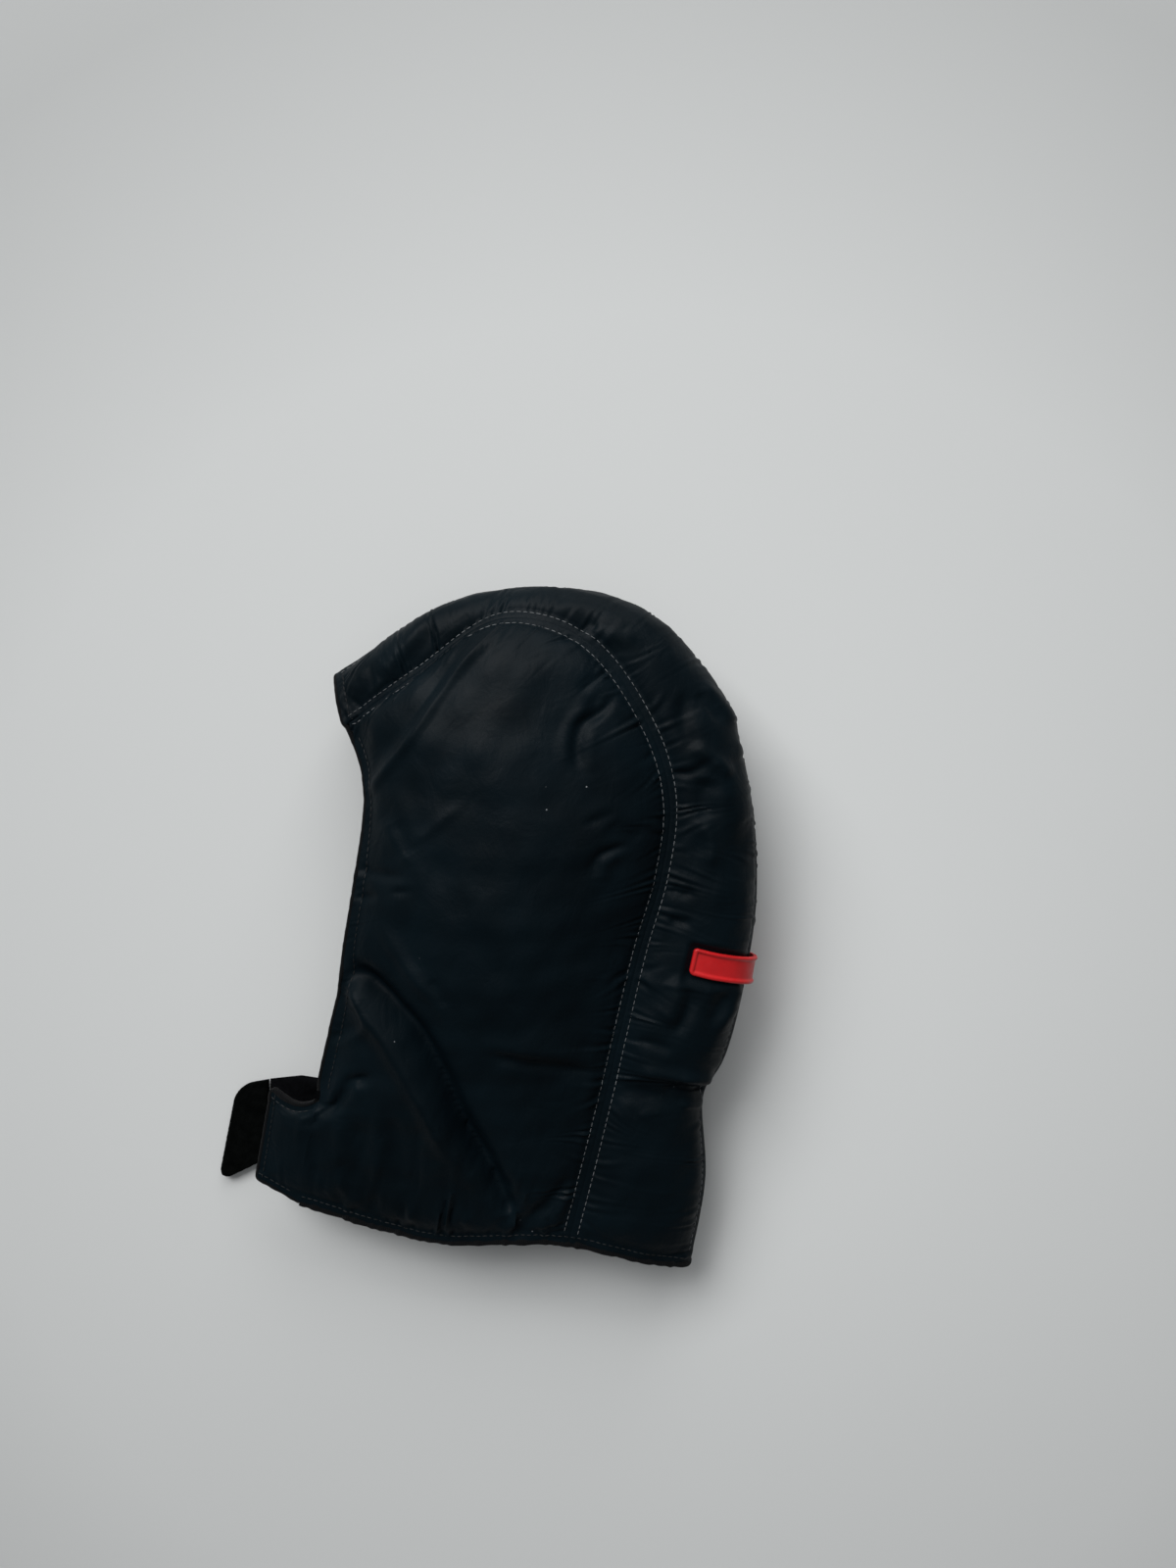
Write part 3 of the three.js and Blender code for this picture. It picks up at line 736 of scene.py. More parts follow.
def surface(key, name, rough, specular=0.5, sheen=0.0):
    """A new material kept under a short key, as its shader and its node helper."""
    material = MATERIALS[key] = bpy.data.materials.new(name)
    material.use_nodes = True
    shader = material.node_tree.nodes["Principled BSDF"]
    inputs = {"Roughness": rough, "Specular IOR Level": specular, "Sheen Weight": sheen, "Sheen Roughness": 0.5}
    for socket, value in inputs.items():
        shader.inputs[socket].default_value = value
    return shader, Nodes(material)


class Nodes:
    """Short ways to add and join shader nodes of one material."""

    def __init__(self, material):
        self.tree = material.node_tree
        self.coords = self.tree.nodes.new("ShaderNodeTexCoord")

    def add(self, kind, links=None, **values):
        node = self.tree.nodes.new("ShaderNode" + kind)
        for key, value in values.items():
            if hasattr(node, key):
                setattr(node, key, value)
            else:
                node.inputs[key.replace("_", " ").title()].default_value = value
        for key, socket in (links or {}).items():
            self.tree.links.new(socket, node.inputs[key])
        return node

    def feed(self, node, values):
        """Joins numbered inputs to other sockets, or gives them a number or a colour."""
        for k, value in values.items():
            if hasattr(value, "node"):
                self.tree.links.new(value, node.inputs[k])
            else:
                node.inputs[k].default_value = (*value, 1) if isinstance(value, tuple) else value

    def noise(self, scale, detail=3.0, stretch=None, space="Object", distortion=0.0):
        vector = self.coords.outputs[space]
        if stretch:
            vector = self.add("Mapping", {"Vector": vector}, scale=stretch).outputs[0]
        node = self.add("TexNoise", {"Vector": vector}, scale=scale, detail=detail, distortion=distortion)
        return node.outputs["Fac"]

    def spread(self, value, low, high, start=0.3, end=0.7):
        node = self.add("MapRange", {"Value": value}, from_min=start, from_max=end, to_min=low, to_max=high)
        return node.outputs["Result"]

    def ramp(self, value, *stops):
        node = self.add("ValToRGB", {"Fac": value})
        elements = node.color_ramp.elements
        while len(elements) < len(stops):
            elements.new(0.5)
        for element, (place, colour) in zip(elements, stops):
            element.position = place
            element.color = (*colour, 1)
        return node.outputs["Color"]

    def mix(self, share, a, b):
        node = self.add("Mix", data_type="RGBA")
        self.feed(node, {0: share, 6: a, 7: b})
        return node.outputs[2]

    def bump(self, height, distance, strength=1.0, after=None):
        links = {"Height": height}
        if after:
            links["Normal"] = after
        return self.add("Bump", links, distance=distance, strength=strength).outputs["Normal"]

    def waves(self, scale, direction, space="UV", distortion=0.0):
        links = {"Vector": self.coords.outputs[space]}
        node = self.add("TexWave", links, bands_direction=direction, scale=scale, distortion=distortion)
        return node.outputs["Fac"]

    def times(self, a, b):
        node = self.add("Math", operation="MULTIPLY")
        self.feed(node, {0: a, 1: b})
        return node.outputs[0]

    def lint(self, scale, near, far, patches, low, high):
        """Scattered specks of lint, within patches of the cloth only."""
        cells = self.add("TexVoronoi", {"Vector": self.coords.outputs["Object"]}, scale=scale)
        dots = self.spread(cells.outputs["Distance"], 1, 0, near, far)
        return self.times(dots, self.spread(self.noise(patches, 1), 0, 1, low, high))

    def to(self, shader, **sockets):
        for key, socket in sockets.items():
            self.tree.links.new(socket, shader.inputs[key.replace("_", " ")])


def darker(colour, share):
    """A colour scaled by a share, which may also be above 1."""
    return tuple(c * share for c in colour)


def make_materials(look):
    """Every finish, with the colours a user may change taken from the settings."""
    nylon = tuple(look.nylon)
    s, n = surface("nylon", "black_nylon", 0.44, specular=0.052)
    tone = n.noise(26, 4)
    lint = n.lint(95, 0.02, 0.045, 37, 0.60, 0.66)
    cloth = n.ramp(tone, (0.3, darker(nylon, 0.75)), (0.72, darker(nylon, 1.3)))
    weave = n.times(n.waves(640, "X"), n.waves(640, "Y"))
    crinkle = n.noise(230, 3, distortion=0.6)
    creases = n.noise(70, 4, stretch=(1.0, 0.6, 1.0), distortion=1.1)
    normal = n.bump(creases, 0.0011, 0.55)
    normal = n.bump(crinkle, 0.00032, 0.45, normal)
    normal = n.bump(weave, 0.00004, 0.5, normal)
    n.to(s, Base_Color=n.mix(lint, cloth, (0.2, 0.21, 0.22)), Normal=normal)
    n.to(s, Roughness=n.spread(n.noise(60, 3), 0.4, 0.5))

    s, n = surface("fleece", "fleece", 0.97, specular=0.02)
    pile = n.noise(900, 4)
    tufts = n.noise(160, 3, distortion=0.8)
    n.to(s, Base_Color=n.ramp(tufts, (0.3, (0.0009, 0.0010, 0.0013)), (0.75, (0.0030, 0.0032, 0.0038))))
    n.to(s, Normal=n.bump(pile, 0.0005, 0.8, n.bump(tufts, 0.0012, 0.7)))

    s, n = surface("pile", "pile_face", 0.97, specular=0.02)
    pile = n.noise(1500, 4)
    lint = n.lint(190, 0.05, 0.09, 52, 0.62, 0.66)
    base = n.ramp(n.noise(240, 3), (0.3, (0.0006, 0.0009, 0.0008)), (0.8, (0.0024, 0.0028, 0.0027)))
    n.to(s, Base_Color=n.mix(lint, base, (0.16, 0.17, 0.17)), Normal=n.bump(pile, 0.0006, 0.9))

    s, n = surface("binding", "knit_binding", 0.8, specular=0.1, sheen=0.02)
    ribs = n.times(n.waves(330, "X", distortion=1.2), n.waves(420, "Y", distortion=0.8))
    fuzz = n.noise(1200, 3)
    base = n.ramp(ribs, (0.05, darker(look.binding, 0.4)), (0.6, darker(look.binding, 1.5)))
    n.to(s, Base_Color=base, Normal=n.bump(fuzz, 0.0002, 0.6, n.bump(ribs, 0.00035, 1.0)))

    thread = tuple(look.thread)
    s, n = surface("thread", "thread", 0.6, specular=0.3)
    n.to(s, Base_Color=n.ramp(n.noise(130, 3), (0.3, darker(thread, 0.45)), (0.7, darker(thread, 1.15))))
    s, n = surface("dark_thread", "dark_thread", 0.6, specular=0.3)
    n.to(s, Base_Color=n.ramp(n.noise(130, 3), (0.3, darker(thread, 0.03)), (0.75, darker(thread, 0.16))))

    rubber = tuple(look.rubber)
    s, n = surface("rubber", "red_rubber", 0.36, specular=0.4)
    n.to(s, Base_Color=n.ramp(n.noise(70, 4), (0.3, darker(rubber, 0.86)), (0.7, darker(rubber, 1.1))))
    n.to(s, Roughness=n.spread(n.noise(350, 3), 0.34, 0.52), Normal=n.bump(n.noise(1400, 2), 0.00006, 0.6))

    s, n = surface("wadding", "wadding_fibre", 0.95, specular=0.1, sheen=0.3)
    n.to(s, Base_Color=n.ramp(n.noise(90, 5), (0.3, (0.62, 0.61, 0.57)), (0.7, (0.8, 0.79, 0.76))))
    n.to(s, Normal=n.bump(n.noise(420, 5), 0.0006, 0.8))

    s, n = surface("elastic", "woven_elastic", 0.7, specular=0.25)
    ribs = n.times(n.waves(210, "Y"), n.waves(520, "X"))
    n.to(s, Base_Color=n.ramp(ribs, (0.1, (0.004, 0.004, 0.005)), (0.7, (0.022, 0.022, 0.025))))
    n.to(s, Normal=n.bump(ribs, 0.0003, 1.0))

    s, n = surface("hook", "hook_tape", 0.55, specular=0.35)
    pegs = n.times(n.waves(260, "X", "Object"), n.waves(260, "Y", "Object"))
    n.to(s, Base_Color=n.ramp(pegs, (0.2, (0.002, 0.002, 0.0025)), (0.8, (0.03, 0.03, 0.034))))
    n.to(s, Normal=n.bump(pegs, 0.0006, 1.0))

    s, n = surface("loop", "loop_tape", 0.92, specular=0.12, sheen=0.15)
    loops = n.noise(700, 5, distortion=1.5)
    n.to(s, Base_Color=n.ramp(loops, (0.3, (0.002, 0.002, 0.0025)), (0.7, (0.014, 0.014, 0.016))))
    n.to(s, Normal=n.bump(loops, 0.0006, 1.0))

    s, n = surface("label", "label_ribbon", 0.5, specular=0.35)
    satin = n.times(n.waves(420, "X"), n.waves(420, "Y"))
    n.to(s, Base_Color=n.ramp(satin, (0.2, (0.7, 0.7, 0.68)), (0.8, (0.82, 0.82, 0.8))))
    n.to(s, Normal=n.bump(satin, 0.00005, 0.6))

    s, n = surface("floor", "paper_floor", 0.85, specular=0.15)
    pale = tuple(look.floor)
    # painted light falloff: the floor's colour is pale near a spot off the centre and painted darker farther
    # out, down to two thirds of it
    place = n.add("Mapping", {"Vector": n.coords.outputs["Object"]}, scale=(1.6, 1.6, 1.6))
    place.inputs["Location"].default_value = (-0.14, 0.07, 0)
    painted_light_falloff = n.add("TexGradient", {"Vector": place.outputs[0]}, gradient_type="SPHERICAL")
    far, near = (0.05, darker(pale, 0.66)), (0.75, pale)
    n.to(s, Base_Color=n.ramp(painted_light_falloff.outputs["Fac"], far, (0.4, darker(pale, 0.9)), near))


# ---------------------------------------------------------------- shared making
def set_uv(obj, uv):
    """Gives a sheet the pattern's own lengths, in metres, as its UV map."""
    mesh = obj.data
    order = np.zeros(len(mesh.vertices), np.int32)
    mesh.attributes["order"].data.foreach_get("value", order)
    corner = np.zeros(len(mesh.loops), np.int32)
    mesh.loops.foreach_get("vertex_index", corner)
    mesh.uv_layers.active.data.foreach_set("uv", uv.reshape(-1, 2)[order[corner]].astype(np.float32).ravel())
    mesh.attributes.remove(mesh.attributes["order"])


def lengths_uv(grid):
    """Running lengths along and across a grid, in metres."""
    return np.stack([arc(grid, 1), arc(grid, 0)], -1) * MM


def layer(name, outer, inner, material, body, slot, *nodes, padding=None):
    """One closed layer of cloth or wadding that rides on a body and stands for CAD nodes."""
    obj = closed_sheet(name, outer, inner, MATERIALS[material])
    set_uv(obj, lengths_uv(inner))
    if body:
        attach(obj, body)
    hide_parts(*nodes)
    return obj


def resample(line, step):
    """The line as even steps, with its length."""
    along = arc(line[None], 1)[0]
    count = max(2, int(along[-1] / step) + 1)
    at = np.linspace(0, along[-1], count)
    return np.stack([np.interp(at, along, line[:, k]) for k in range(line.shape[1])], 1), along[-1]


def blur(line, times):
    """Evens out a line of points, with its ends held."""
    for _ in range(times):
        line[1:-1] = (line[:-2] + 2 * line[1:-1] + line[2:]) / 4
    return line


def sew(name, rows, pitch, length, thickness, material, body):
    """Rows of stitches as one piece. Each row is (line of points, surface normals, lift)."""
    rng = np.random.default_rng(len(name) * 7 + 5)
    bm = bmesh.new()
    for line, normal, lift in rows:
        both, _ = resample(np.concatenate([line, normal], 1), 0.4)
        along = arc(both[None, :, :3], 1)[0]
        for k in range(int(along[-1] / pitch)):
            middle = (k + 0.5) * pitch + rng.uniform(-0.12, 0.12)
            half = length / 2 * rng.uniform(0.88, 1.08)
            ends = [[np.interp(middle + d, along, both[:, c]) for c in range(6)] for d in (-half, half)]
            a, b = np.array(ends)
            direction = b[:3] - a[:3]
            size = np.linalg.norm(direction)
            if size < 0.3 * length:
                continue
            direction /= size
            up = unit(a[3:] + b[3:])
            side = unit(np.cross(up, direction))
            up = np.cross(direction, side)
            centre = ((a + b) / 2)[:3] + up * lift
            axes = (direction * size / 2, side * thickness / 2, up * thickness / 2, centre)
            basis = Matrix([[axis[i] * MM for axis in axes] for i in range(3)] + [[0, 0, 0, 1]])
            turn = Matrix.Rotation(math.pi / 2, 4, "Y")
            bmesh.ops.create_uvsphere(bm, u_segments=6, v_segments=4, radius=1, matrix=basis @ turn)
    bmesh.ops.recalc_face_normals(bm, faces=bm.faces[:])
    obj = add_object(name, bm, MATERIALS[material])
    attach(obj, body)


# ---------------------------------------------------------------- settings a user would change
class HoodPattern(bpy.types.PropertyGroup):
    """How the padded panels are cut and sewn"""

    fold_depth: bpy.props.FloatProperty(
        name="Fold depth",
        description="Scale of the folds and creases in the cloth",
        default=1.0, min=0, max=2,
    )
    spare_cloth: bpy.props.FloatProperty(
        name="Spare cloth",
        description="Share of extra cloth gathered into each seam",
        default=0.12, min=0, max=0.2,
    )
    stitch_length: bpy.props.FloatProperty(
        name="Stitch length", description="Length of one topstitch", default=0.0026, unit="LENGTH"
    )
    stitch_pitch: bpy.props.FloatProperty(
        name="Stitch pitch", description="From one topstitch to the next", default=0.0033, unit="LENGTH"
    )
    thread_thickness: bpy.props.FloatProperty(
        name="Thread thickness",
        description="Thickness of the topstitching thread",
        default=0.00044, unit="LENGTH",
    )
    binding_width: bpy.props.FloatProperty(
        name="Binding width", description="Width of the knitted edge binding", default=0.0038, unit="LENGTH"
    )


class HoodColours(bpy.types.PropertyGroup):
    """Colours of the cloth, thread, rubber and floor"""

    nylon: bpy.props.FloatVectorProperty(
        name="Nylon", description="Colour of the shell", subtype="COLOR", default=(0.0018, 0.0047, 0.0068)
    )
    binding: bpy.props.FloatVectorProperty(
        name="Binding",
        description="Colour of the knitted binding",
        subtype="COLOR", default=(0.0016, 0.0022, 0.0030),
    )
    thread: bpy.props.FloatVectorProperty(
        name="Thread", description="Colour of the topstitching", subtype="COLOR", default=(0.13, 0.138, 0.145)
    )
    rubber: bpy.props.FloatVectorProperty(
        name="Rubber", description="Colour of the moulded tab", subtype="COLOR", default=(0.5, 0.008, 0.01)
    )
    floor: bpy.props.FloatVectorProperty(
        name="Floor",
        description="Colour of the surface it lies on",
        subtype="COLOR", default=(0.575, 0.586, 0.583),
    )


class HoodStage(bpy.types.PropertyGroup):
    """Camera and lights"""

    key_power: bpy.props.FloatProperty(
        name="Key light", description="Power of the large soft light", default=205.0, min=0, unit="POWER"
    )
    fill_power: bpy.props.FloatProperty(
        name="Fill light", description="Power of the light above", default=1.3, min=0, unit="POWER"
    )
    window_power: bpy.props.FloatProperty(
        name="Window light",
        description="Power of the low light beyond the crown",
        default=28.0, min=0, unit="POWER",
    )
    ambient: bpy.props.FloatProperty(
        name="Ambient", description="Brightness of the room around", default=0.17, min=0, max=2
    )
    camera_height: bpy.props.FloatProperty(
        name="Camera height", description="Height of the lens above the surface", default=0.638, unit="LENGTH"
    )


class HoodOperator:
    """What the operators share."""

    bl_options = {"REGISTER", "UNDO"}

    def execute(self, context):
        scene = context.scene
        self.make(scene.hood_pattern, scene.hood_colours, scene.hood_stage)
        return {"FINISHED"}


# ---------------------------------------------------------------- the pieces
LINING_THICK, SHELL_THICK = 1.0, 0.8


def cloth_layers(name, grid, body, fine):
    """Shell, wadding and lining between a grid's outer and inner faces."""
    outer, inner = grid["outer"], grid["inner"]
    span = outer - inner
    thick = np.linalg.norm(span, axis=-1, keepdims=True)
    way = span / np.maximum(thick, 1e-6)
    under = outer - way * SHELL_THICK
    lined = inner + way * LINING_THICK
    shell_out = grid.get("gathered", finer(outer)) if fine else outer
    shell_in = finer(under) if fine else under
    keep_above(shell_out)
    keep_above(shell_in)
    made = [layer(f"{name}_nylon", shell_out, shell_in, "nylon", body, "nylon_shell", f"{name}_shell")]
    top = outer - way * (SHELL_THICK + 0.3)
    bottom = inner + way * (LINING_THICK + 0.15)
    # the wadding stops short of every edge, and well short of a side panel's narrow tip at the brow
    rows, columns = slice(1, -1), slice(3, -3)
    if name.endswith("side"):
        rows, columns = slice(2, -2), slice(10, -3)
    top, bottom = top[rows, columns], bottom[rows, columns]
    made.append(layer(f"{name}_pad", top, bottom, "wadding", body, "wadding", f"{name}_wadding", padding=0.55))
    made.append(layer(f"{name}_fleece", lined, inner, "fleece", body, "fleece_lining", f"{name}_lining"))
    return made


class HOOD_OT_panels(HoodOperator, bpy.types.Operator):
    """Sews the four padded panels of shell, wadding and lining"""

    bl_idname = "hood.panels"
    bl_label = "Padded panels"

    def make(self, pattern, colours, stage):
        make_materials(colours)
        make_skin(pattern.fold_depth, pattern.spare_cloth, settle=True)
        for name in PANELS:
            cloth_layers(name, SKIN[name], "hood", fine=name != "right_side")


class HOOD_OT_left_flap(HoodOperator, bpy.types.Operator):
    """Adds the padded left throat flap, with its hook patch"""

    bl_idname = "hood.left_flap"
    bl_label = "Left throat flap"

    def make(self, pattern, colours, stage):
        grid = SKIN["left_flap"]
        for obj in cloth_layers("left_flap", grid, None, fine=True):
            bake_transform(obj)
        rows = slice(2, 15)
        columns = np.linspace(0.2, 0.86, 30) * (grid["inner"].shape[1] - 1)
        index = columns.astype(int)
        base = grid["inner"][rows][:, index]
        n = normals_of(base)
        pegs = undulation(base, 21, 3.0)[..., None] * 0.12
        base, n, pegs = finer(base), finer(n), finer(pegs)
        top, bottom = base - n * 0.3, base - n * (1.35 + pegs)
        layer("hook_tape", top, bottom, "hook", "left_flap", "hook_patch", "hook_patch")


def rounded_quad(corners, rows, columns, radius):
    """A grid over four corners (hinge top, outer top, outer bottom, hinge bottom), round at the outer two."""
    a, b, c, d = (np.array(p, float) for p in corners)
    t = np.linspace(0, 1, rows)
    t = 0.5 - 0.5 * np.cos(math.pi * t)
    hinge = lerp(a, d, t[:, None])
    outer = lerp(b, c, t[:, None])
    height = np.linalg.norm(c - b)
    edge = np.minimum(t, 1 - t) * height
    short = radius - np.sqrt(np.maximum(radius**2 - np.maximum(radius - edge, 0) ** 2, 0))
    width = np.linalg.norm(outer - hinge, axis=1)
    reach = 1 - short / width
    s = np.linspace(0, 1, columns)[None, :, None] * reach[:, None, None]
    return lerp(hinge[:, None], outer[:, None], s)


def flat_grid(plan, height):
    """A flat point grid at one height."""
    return np.concatenate([plan, np.full(plan.shape[:2] + (1,), float(height))], -1)


def pillow(plan, low, high, round_over, wave=0.0, seed=3, sewn=None):
    """Lower and upper faces of a flat padded piece whose edges are rounded over, or sewn down at a height."""
    base = flat_grid(plan, 0)
    n = np.minimum(
        np.minimum(arc(base, 0), arc(base, 0)[-1:] - arc(base, 0)),
        np.minimum(arc(base, 1), arc(base, 1)[:, -1:] - arc(base, 1)),
    )
    drop = 1 - np.sqrt(np.maximum(0, 1 - (1 - np.minimum(n / round_over, 1)) ** 2))
    middle = (low + high) / 2 if sewn is None else sewn
    top, bottom = base.copy(), base.copy()
    top[..., 2] = high - (high - middle) * 0.9 * drop + wave * undulation(base, seed, 22) * (1 - drop)
    bottom[..., 2] = low + (middle - low) * 0.9 * drop
    return bottom, top


def placed(points):
    """Flat points moved from the pattern's coordinates to the row frame."""
    return [tuple(np.add(p, SHIFT[:2])) for p in points]


class HOOD_OT_right_flap(HoodOperator, bpy.types.Operator):
    """Adds the flat right throat flap and its tab, with the loop patch under it"""

    bl_idname = "hood.right_flap"
    bl_label = "Right throat flap and tab"

    def make(self, pattern, colours, stage):
        hinge_top, hinge_bottom = STATIONS[9][2], STATIONS[11][2]
        top = placed([(hinge_top[0] - 0.9, hinge_top[1] - 2), (-104, -83), (FOLD_X + 0.2, -84.8)])
        bottom = placed([(hinge_bottom[0] - 0.9, hinge_bottom[1] + 2), (FOLD_X + 0.2, -127.2)])
        share = np.linspace(0, 1, 46)
        upper, _ = resample(np.array(top, float), 0.25)
        lower, _ = resample(np.array(bottom, float), 0.25)
        upper = upper[(share * (len(upper) - 1)).astype(int)]
        lower = lower[(share * (len(lower) - 1)).astype(int)]
        plan = lerp(upper[None], lower[None], np.linspace(0, 1, 60)[:, None, None])
        plan = plan[:, ::-1]
        low, high = pillow(plan, 1.5, 2.3, 1.0)
        self.piece("right_flap_shell", low, high, "nylon", "hood", "nylon_shell")
        low, high = pillow(lerp(plan, plan.mean((0, 1)), 0.13), 2.5, 3.7, 1.2)
        self.piece("right_flap_wadding", low, high, "wadding", "hood", "wadding", padding=0.3)
        low, high = pillow(plan, 3.8, 5.3, 3.0, wave=0.25, sewn=2.0)
        self.piece("right_flap_lining", low, high, "fleece", "hood", "fleece_lining")
        outline = placed([(FOLD_X - 0.4, -85), (-138.5, -88), (-148.5, -140), (FOLD_X - 0.4, -127)])
        plan = rounded_quad(outline, 70, 40, 8.5)[:, ::-1]
        low, high = pillow(plan, 1.5, 2.3, 0.8)
        self.piece("right_tab_shell", low, high, "nylon", "right_tab", "nylon_shell")
        low, high = pillow(plan, 2.5, 5.3, 2.2, wave=0.22, seed=8)
        high += normals_of(high) * (undulation(high, 31, 1.6) * 0.10)[..., None]
        self.piece("right_tab_lining", low, high, "pile", "right_tab", "fleece_lining")
        centre = np.mean(outline, 0)
        patch = [tuple(lerp(np.array(p), centre, 0.12)) for p in outline]
        low, high = pillow(rounded_quad(patch, 60, 36, 5.0)[:, ::-1], 0.05, 1.2, 0.6)
        self.piece("loop_patch", low, high, "loop", "right_tab", "loop_patch")

    def piece(self, name, low, high, material, body, slot, padding=None):
        layer(f"{name}_piece", high, low, material, body, slot, name, padding=padding)


class HOOD_OT_bindings(HoodOperator, bpy.types.Operator):
    """Rolls the knitted bindings round the face edge, the hem and the left flap"""

    bl_idname = "hood.bindings"
    bl_label = "Edge bindings"
    sides = 16

    def make(self, pattern, colours, stage):
        half = pattern.binding_width / 2 / MM
        side, back, right_back, right = (SKIN[name] for name in PANELS)
        u = side["panel"].u
        on_face = (u > 0.022) & (u < CHIN - 0.012)
        parts = [self.rim(side, 0, 3, on_face)[::-1]]
        parts += [self.rim_end(g, 0, 3) for g in (back, right_back)]
        parts += [self.rim(right, -1, -4, on_face)]
        self.roll("face_binding", parts, half * 0.62, 1.35, "hood", 0.05, 7)
        parts = [self.rim_end(g, -1, -4) for g in (side, back, right_back, right)]
        self.roll("hem_binding", parts, half, 1.8, "hood", 0.10, 9)
        flap = SKIN["left_flap"]
        chin = self.rim_end(flap, 0, 3)[::-1]
        front = self.rim(flap, 0, 1, np.ones(flap["outer"].shape[1], bool))
        hem = self.rim_end(flap, -1, -4)
        self.roll("left_flap_binding", [chin[2:], front, hem], half * 0.6, 1.3, "left_flap", 0.06, 8)

    @staticmethod
    def frame_of(edge_out, edge_in, near_out, near_in):
        middle = (edge_out + edge_in) / 2
        thick = np.linalg.norm(edge_out - edge_in, axis=-1, keepdims=True)
        away = unit(middle - (near_out + near_in) / 2)
        return np.concatenate([middle, away, unit(edge_out - edge_in), thick], -1)

    def rim(self, grid, row, near, mask):
        o, i = grid["outer"], grid["inner"]
        return self.frame_of(o[row], i[row], o[near], i[near])[mask]

    def rim_end(self, grid, column, near):
        o, i = grid["outer"], grid["inner"]
        return self.frame_of(o[:, column], i[:, column], o[:, near], i[:, near])

    def roll(self, name, parts, half, flatness, body, gather, seed):
        line = np.concatenate(parts)
        keep = np.concatenate([[True], np.linalg.norm(np.diff(line[:, :3], axis=0), axis=1) > 0.25])
        line, total = resample(line[keep], 0.7)
        line = blur(blur(line, 3), 3)
        centre, away, up = line[:, :3], unit(line[:, 3:6]), line[:, 6:9]
        forward = unit(np.gradient(centre, axis=0))
        away = unit(away - (away * forward).sum(1, keepdims=True) * forward)
        upright = np.cross(forward, away)
        up = upright * np.sign((upright * up).sum(1, keepdims=True))
        thick = np.clip(line[:, 9], 2.6, 4.2)
        angle = np.linspace(0, 2 * math.pi, self.sides, endpoint=False)
        along = arc(centre[None], 1)[0]
        rng = np.random.default_rng(seed)
        beads = np.arange(0, total + 8, 2.3)
        ripple = np.interp(along, beads, rng.normal(0, 1, len(beads)))
        swell = 1 + gather * ripple
        squircle = (np.abs(np.cos(angle)) ** 3 + np.abs(np.sin(angle)) ** 3) ** (-1 / 3)
        across = half * squircle[:, None] * swell * np.cos(angle)[:, None]
        upward = (thick / 2 + 0.25) * squircle[:, None] * swell * np.sin(angle)[:, None]
        ring = (centre + away * half * 0.55)[None] + across[..., None] * away + upward[..., None] * up
        keep_above(ring, 0.02)
        obj = tube(f"{name}_roll", ring, "binding")
        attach(obj, body)
        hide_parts(name)


def tube(name, ring, material):
    """A closed tube from rings of points [side, place]."""
    points = np.concatenate([ring, ring[:1]])
    bm = grid_bmesh(points)
    bmesh.ops.remove_doubles(bm, verts=bm.verts[:], dist=1e-6)
    bmesh.ops.holes_fill(bm, edges=[e for e in bm.edges if e.is_boundary], sides=0)
    bmesh.ops.recalc_face_normals(bm, faces=bm.faces[:])
    obj = add_object(name, bm, MATERIALS[material])
    set_uv(obj, np.stack([arc(points, 1), arc(points, 0)], -1) * MM)
    return obj


def stitch_line(points, normals, depth, gaps):
    """Points and normals where each column, measured by its running depth, reaches its gap."""
    columns = range(points.shape[1])
    gaps = np.broadcast_to(gaps, len(columns))
    line, up = (
        np.array([[np.interp(gaps[c], depth[:, c], grid[:, c, k]) for k in range(3)] for c in columns])
        for grid in (points, normals)
    )
    return line, unit(up)


def seam_line(name, gap, low=True):
    """Points and normals of a panel's surface at a set distance from one of its long edges."""
    points, way = SKIN[name]["gathered"], 1 if low else -1
    depth = arc(finer(SKIN[name]["panel"].inner)[::way], 0)
    return stitch_line(points[::way], normals_of(points)[::way], depth, np.minimum(gap, depth[-1] * 0.36))


def end_line(grid, gap, last):
    """Points and normals across a grid at a set distance from its hem (last) or its brow."""
    way = -1 if last else 1
    points, normals = (g[:, ::way].swapaxes(0, 1) for g in (grid["gathered"], normals_of(grid["gathered"])))
    return stitch_line(points, normals, arc(points, 0), gap)


def front_line(grid, gap):
    """Points and normals down a flap at a set distance from its front edge."""
    return stitch_line(grid["gathered"], normals_of(grid["gathered"]), arc(grid["gathered"], 0), gap)


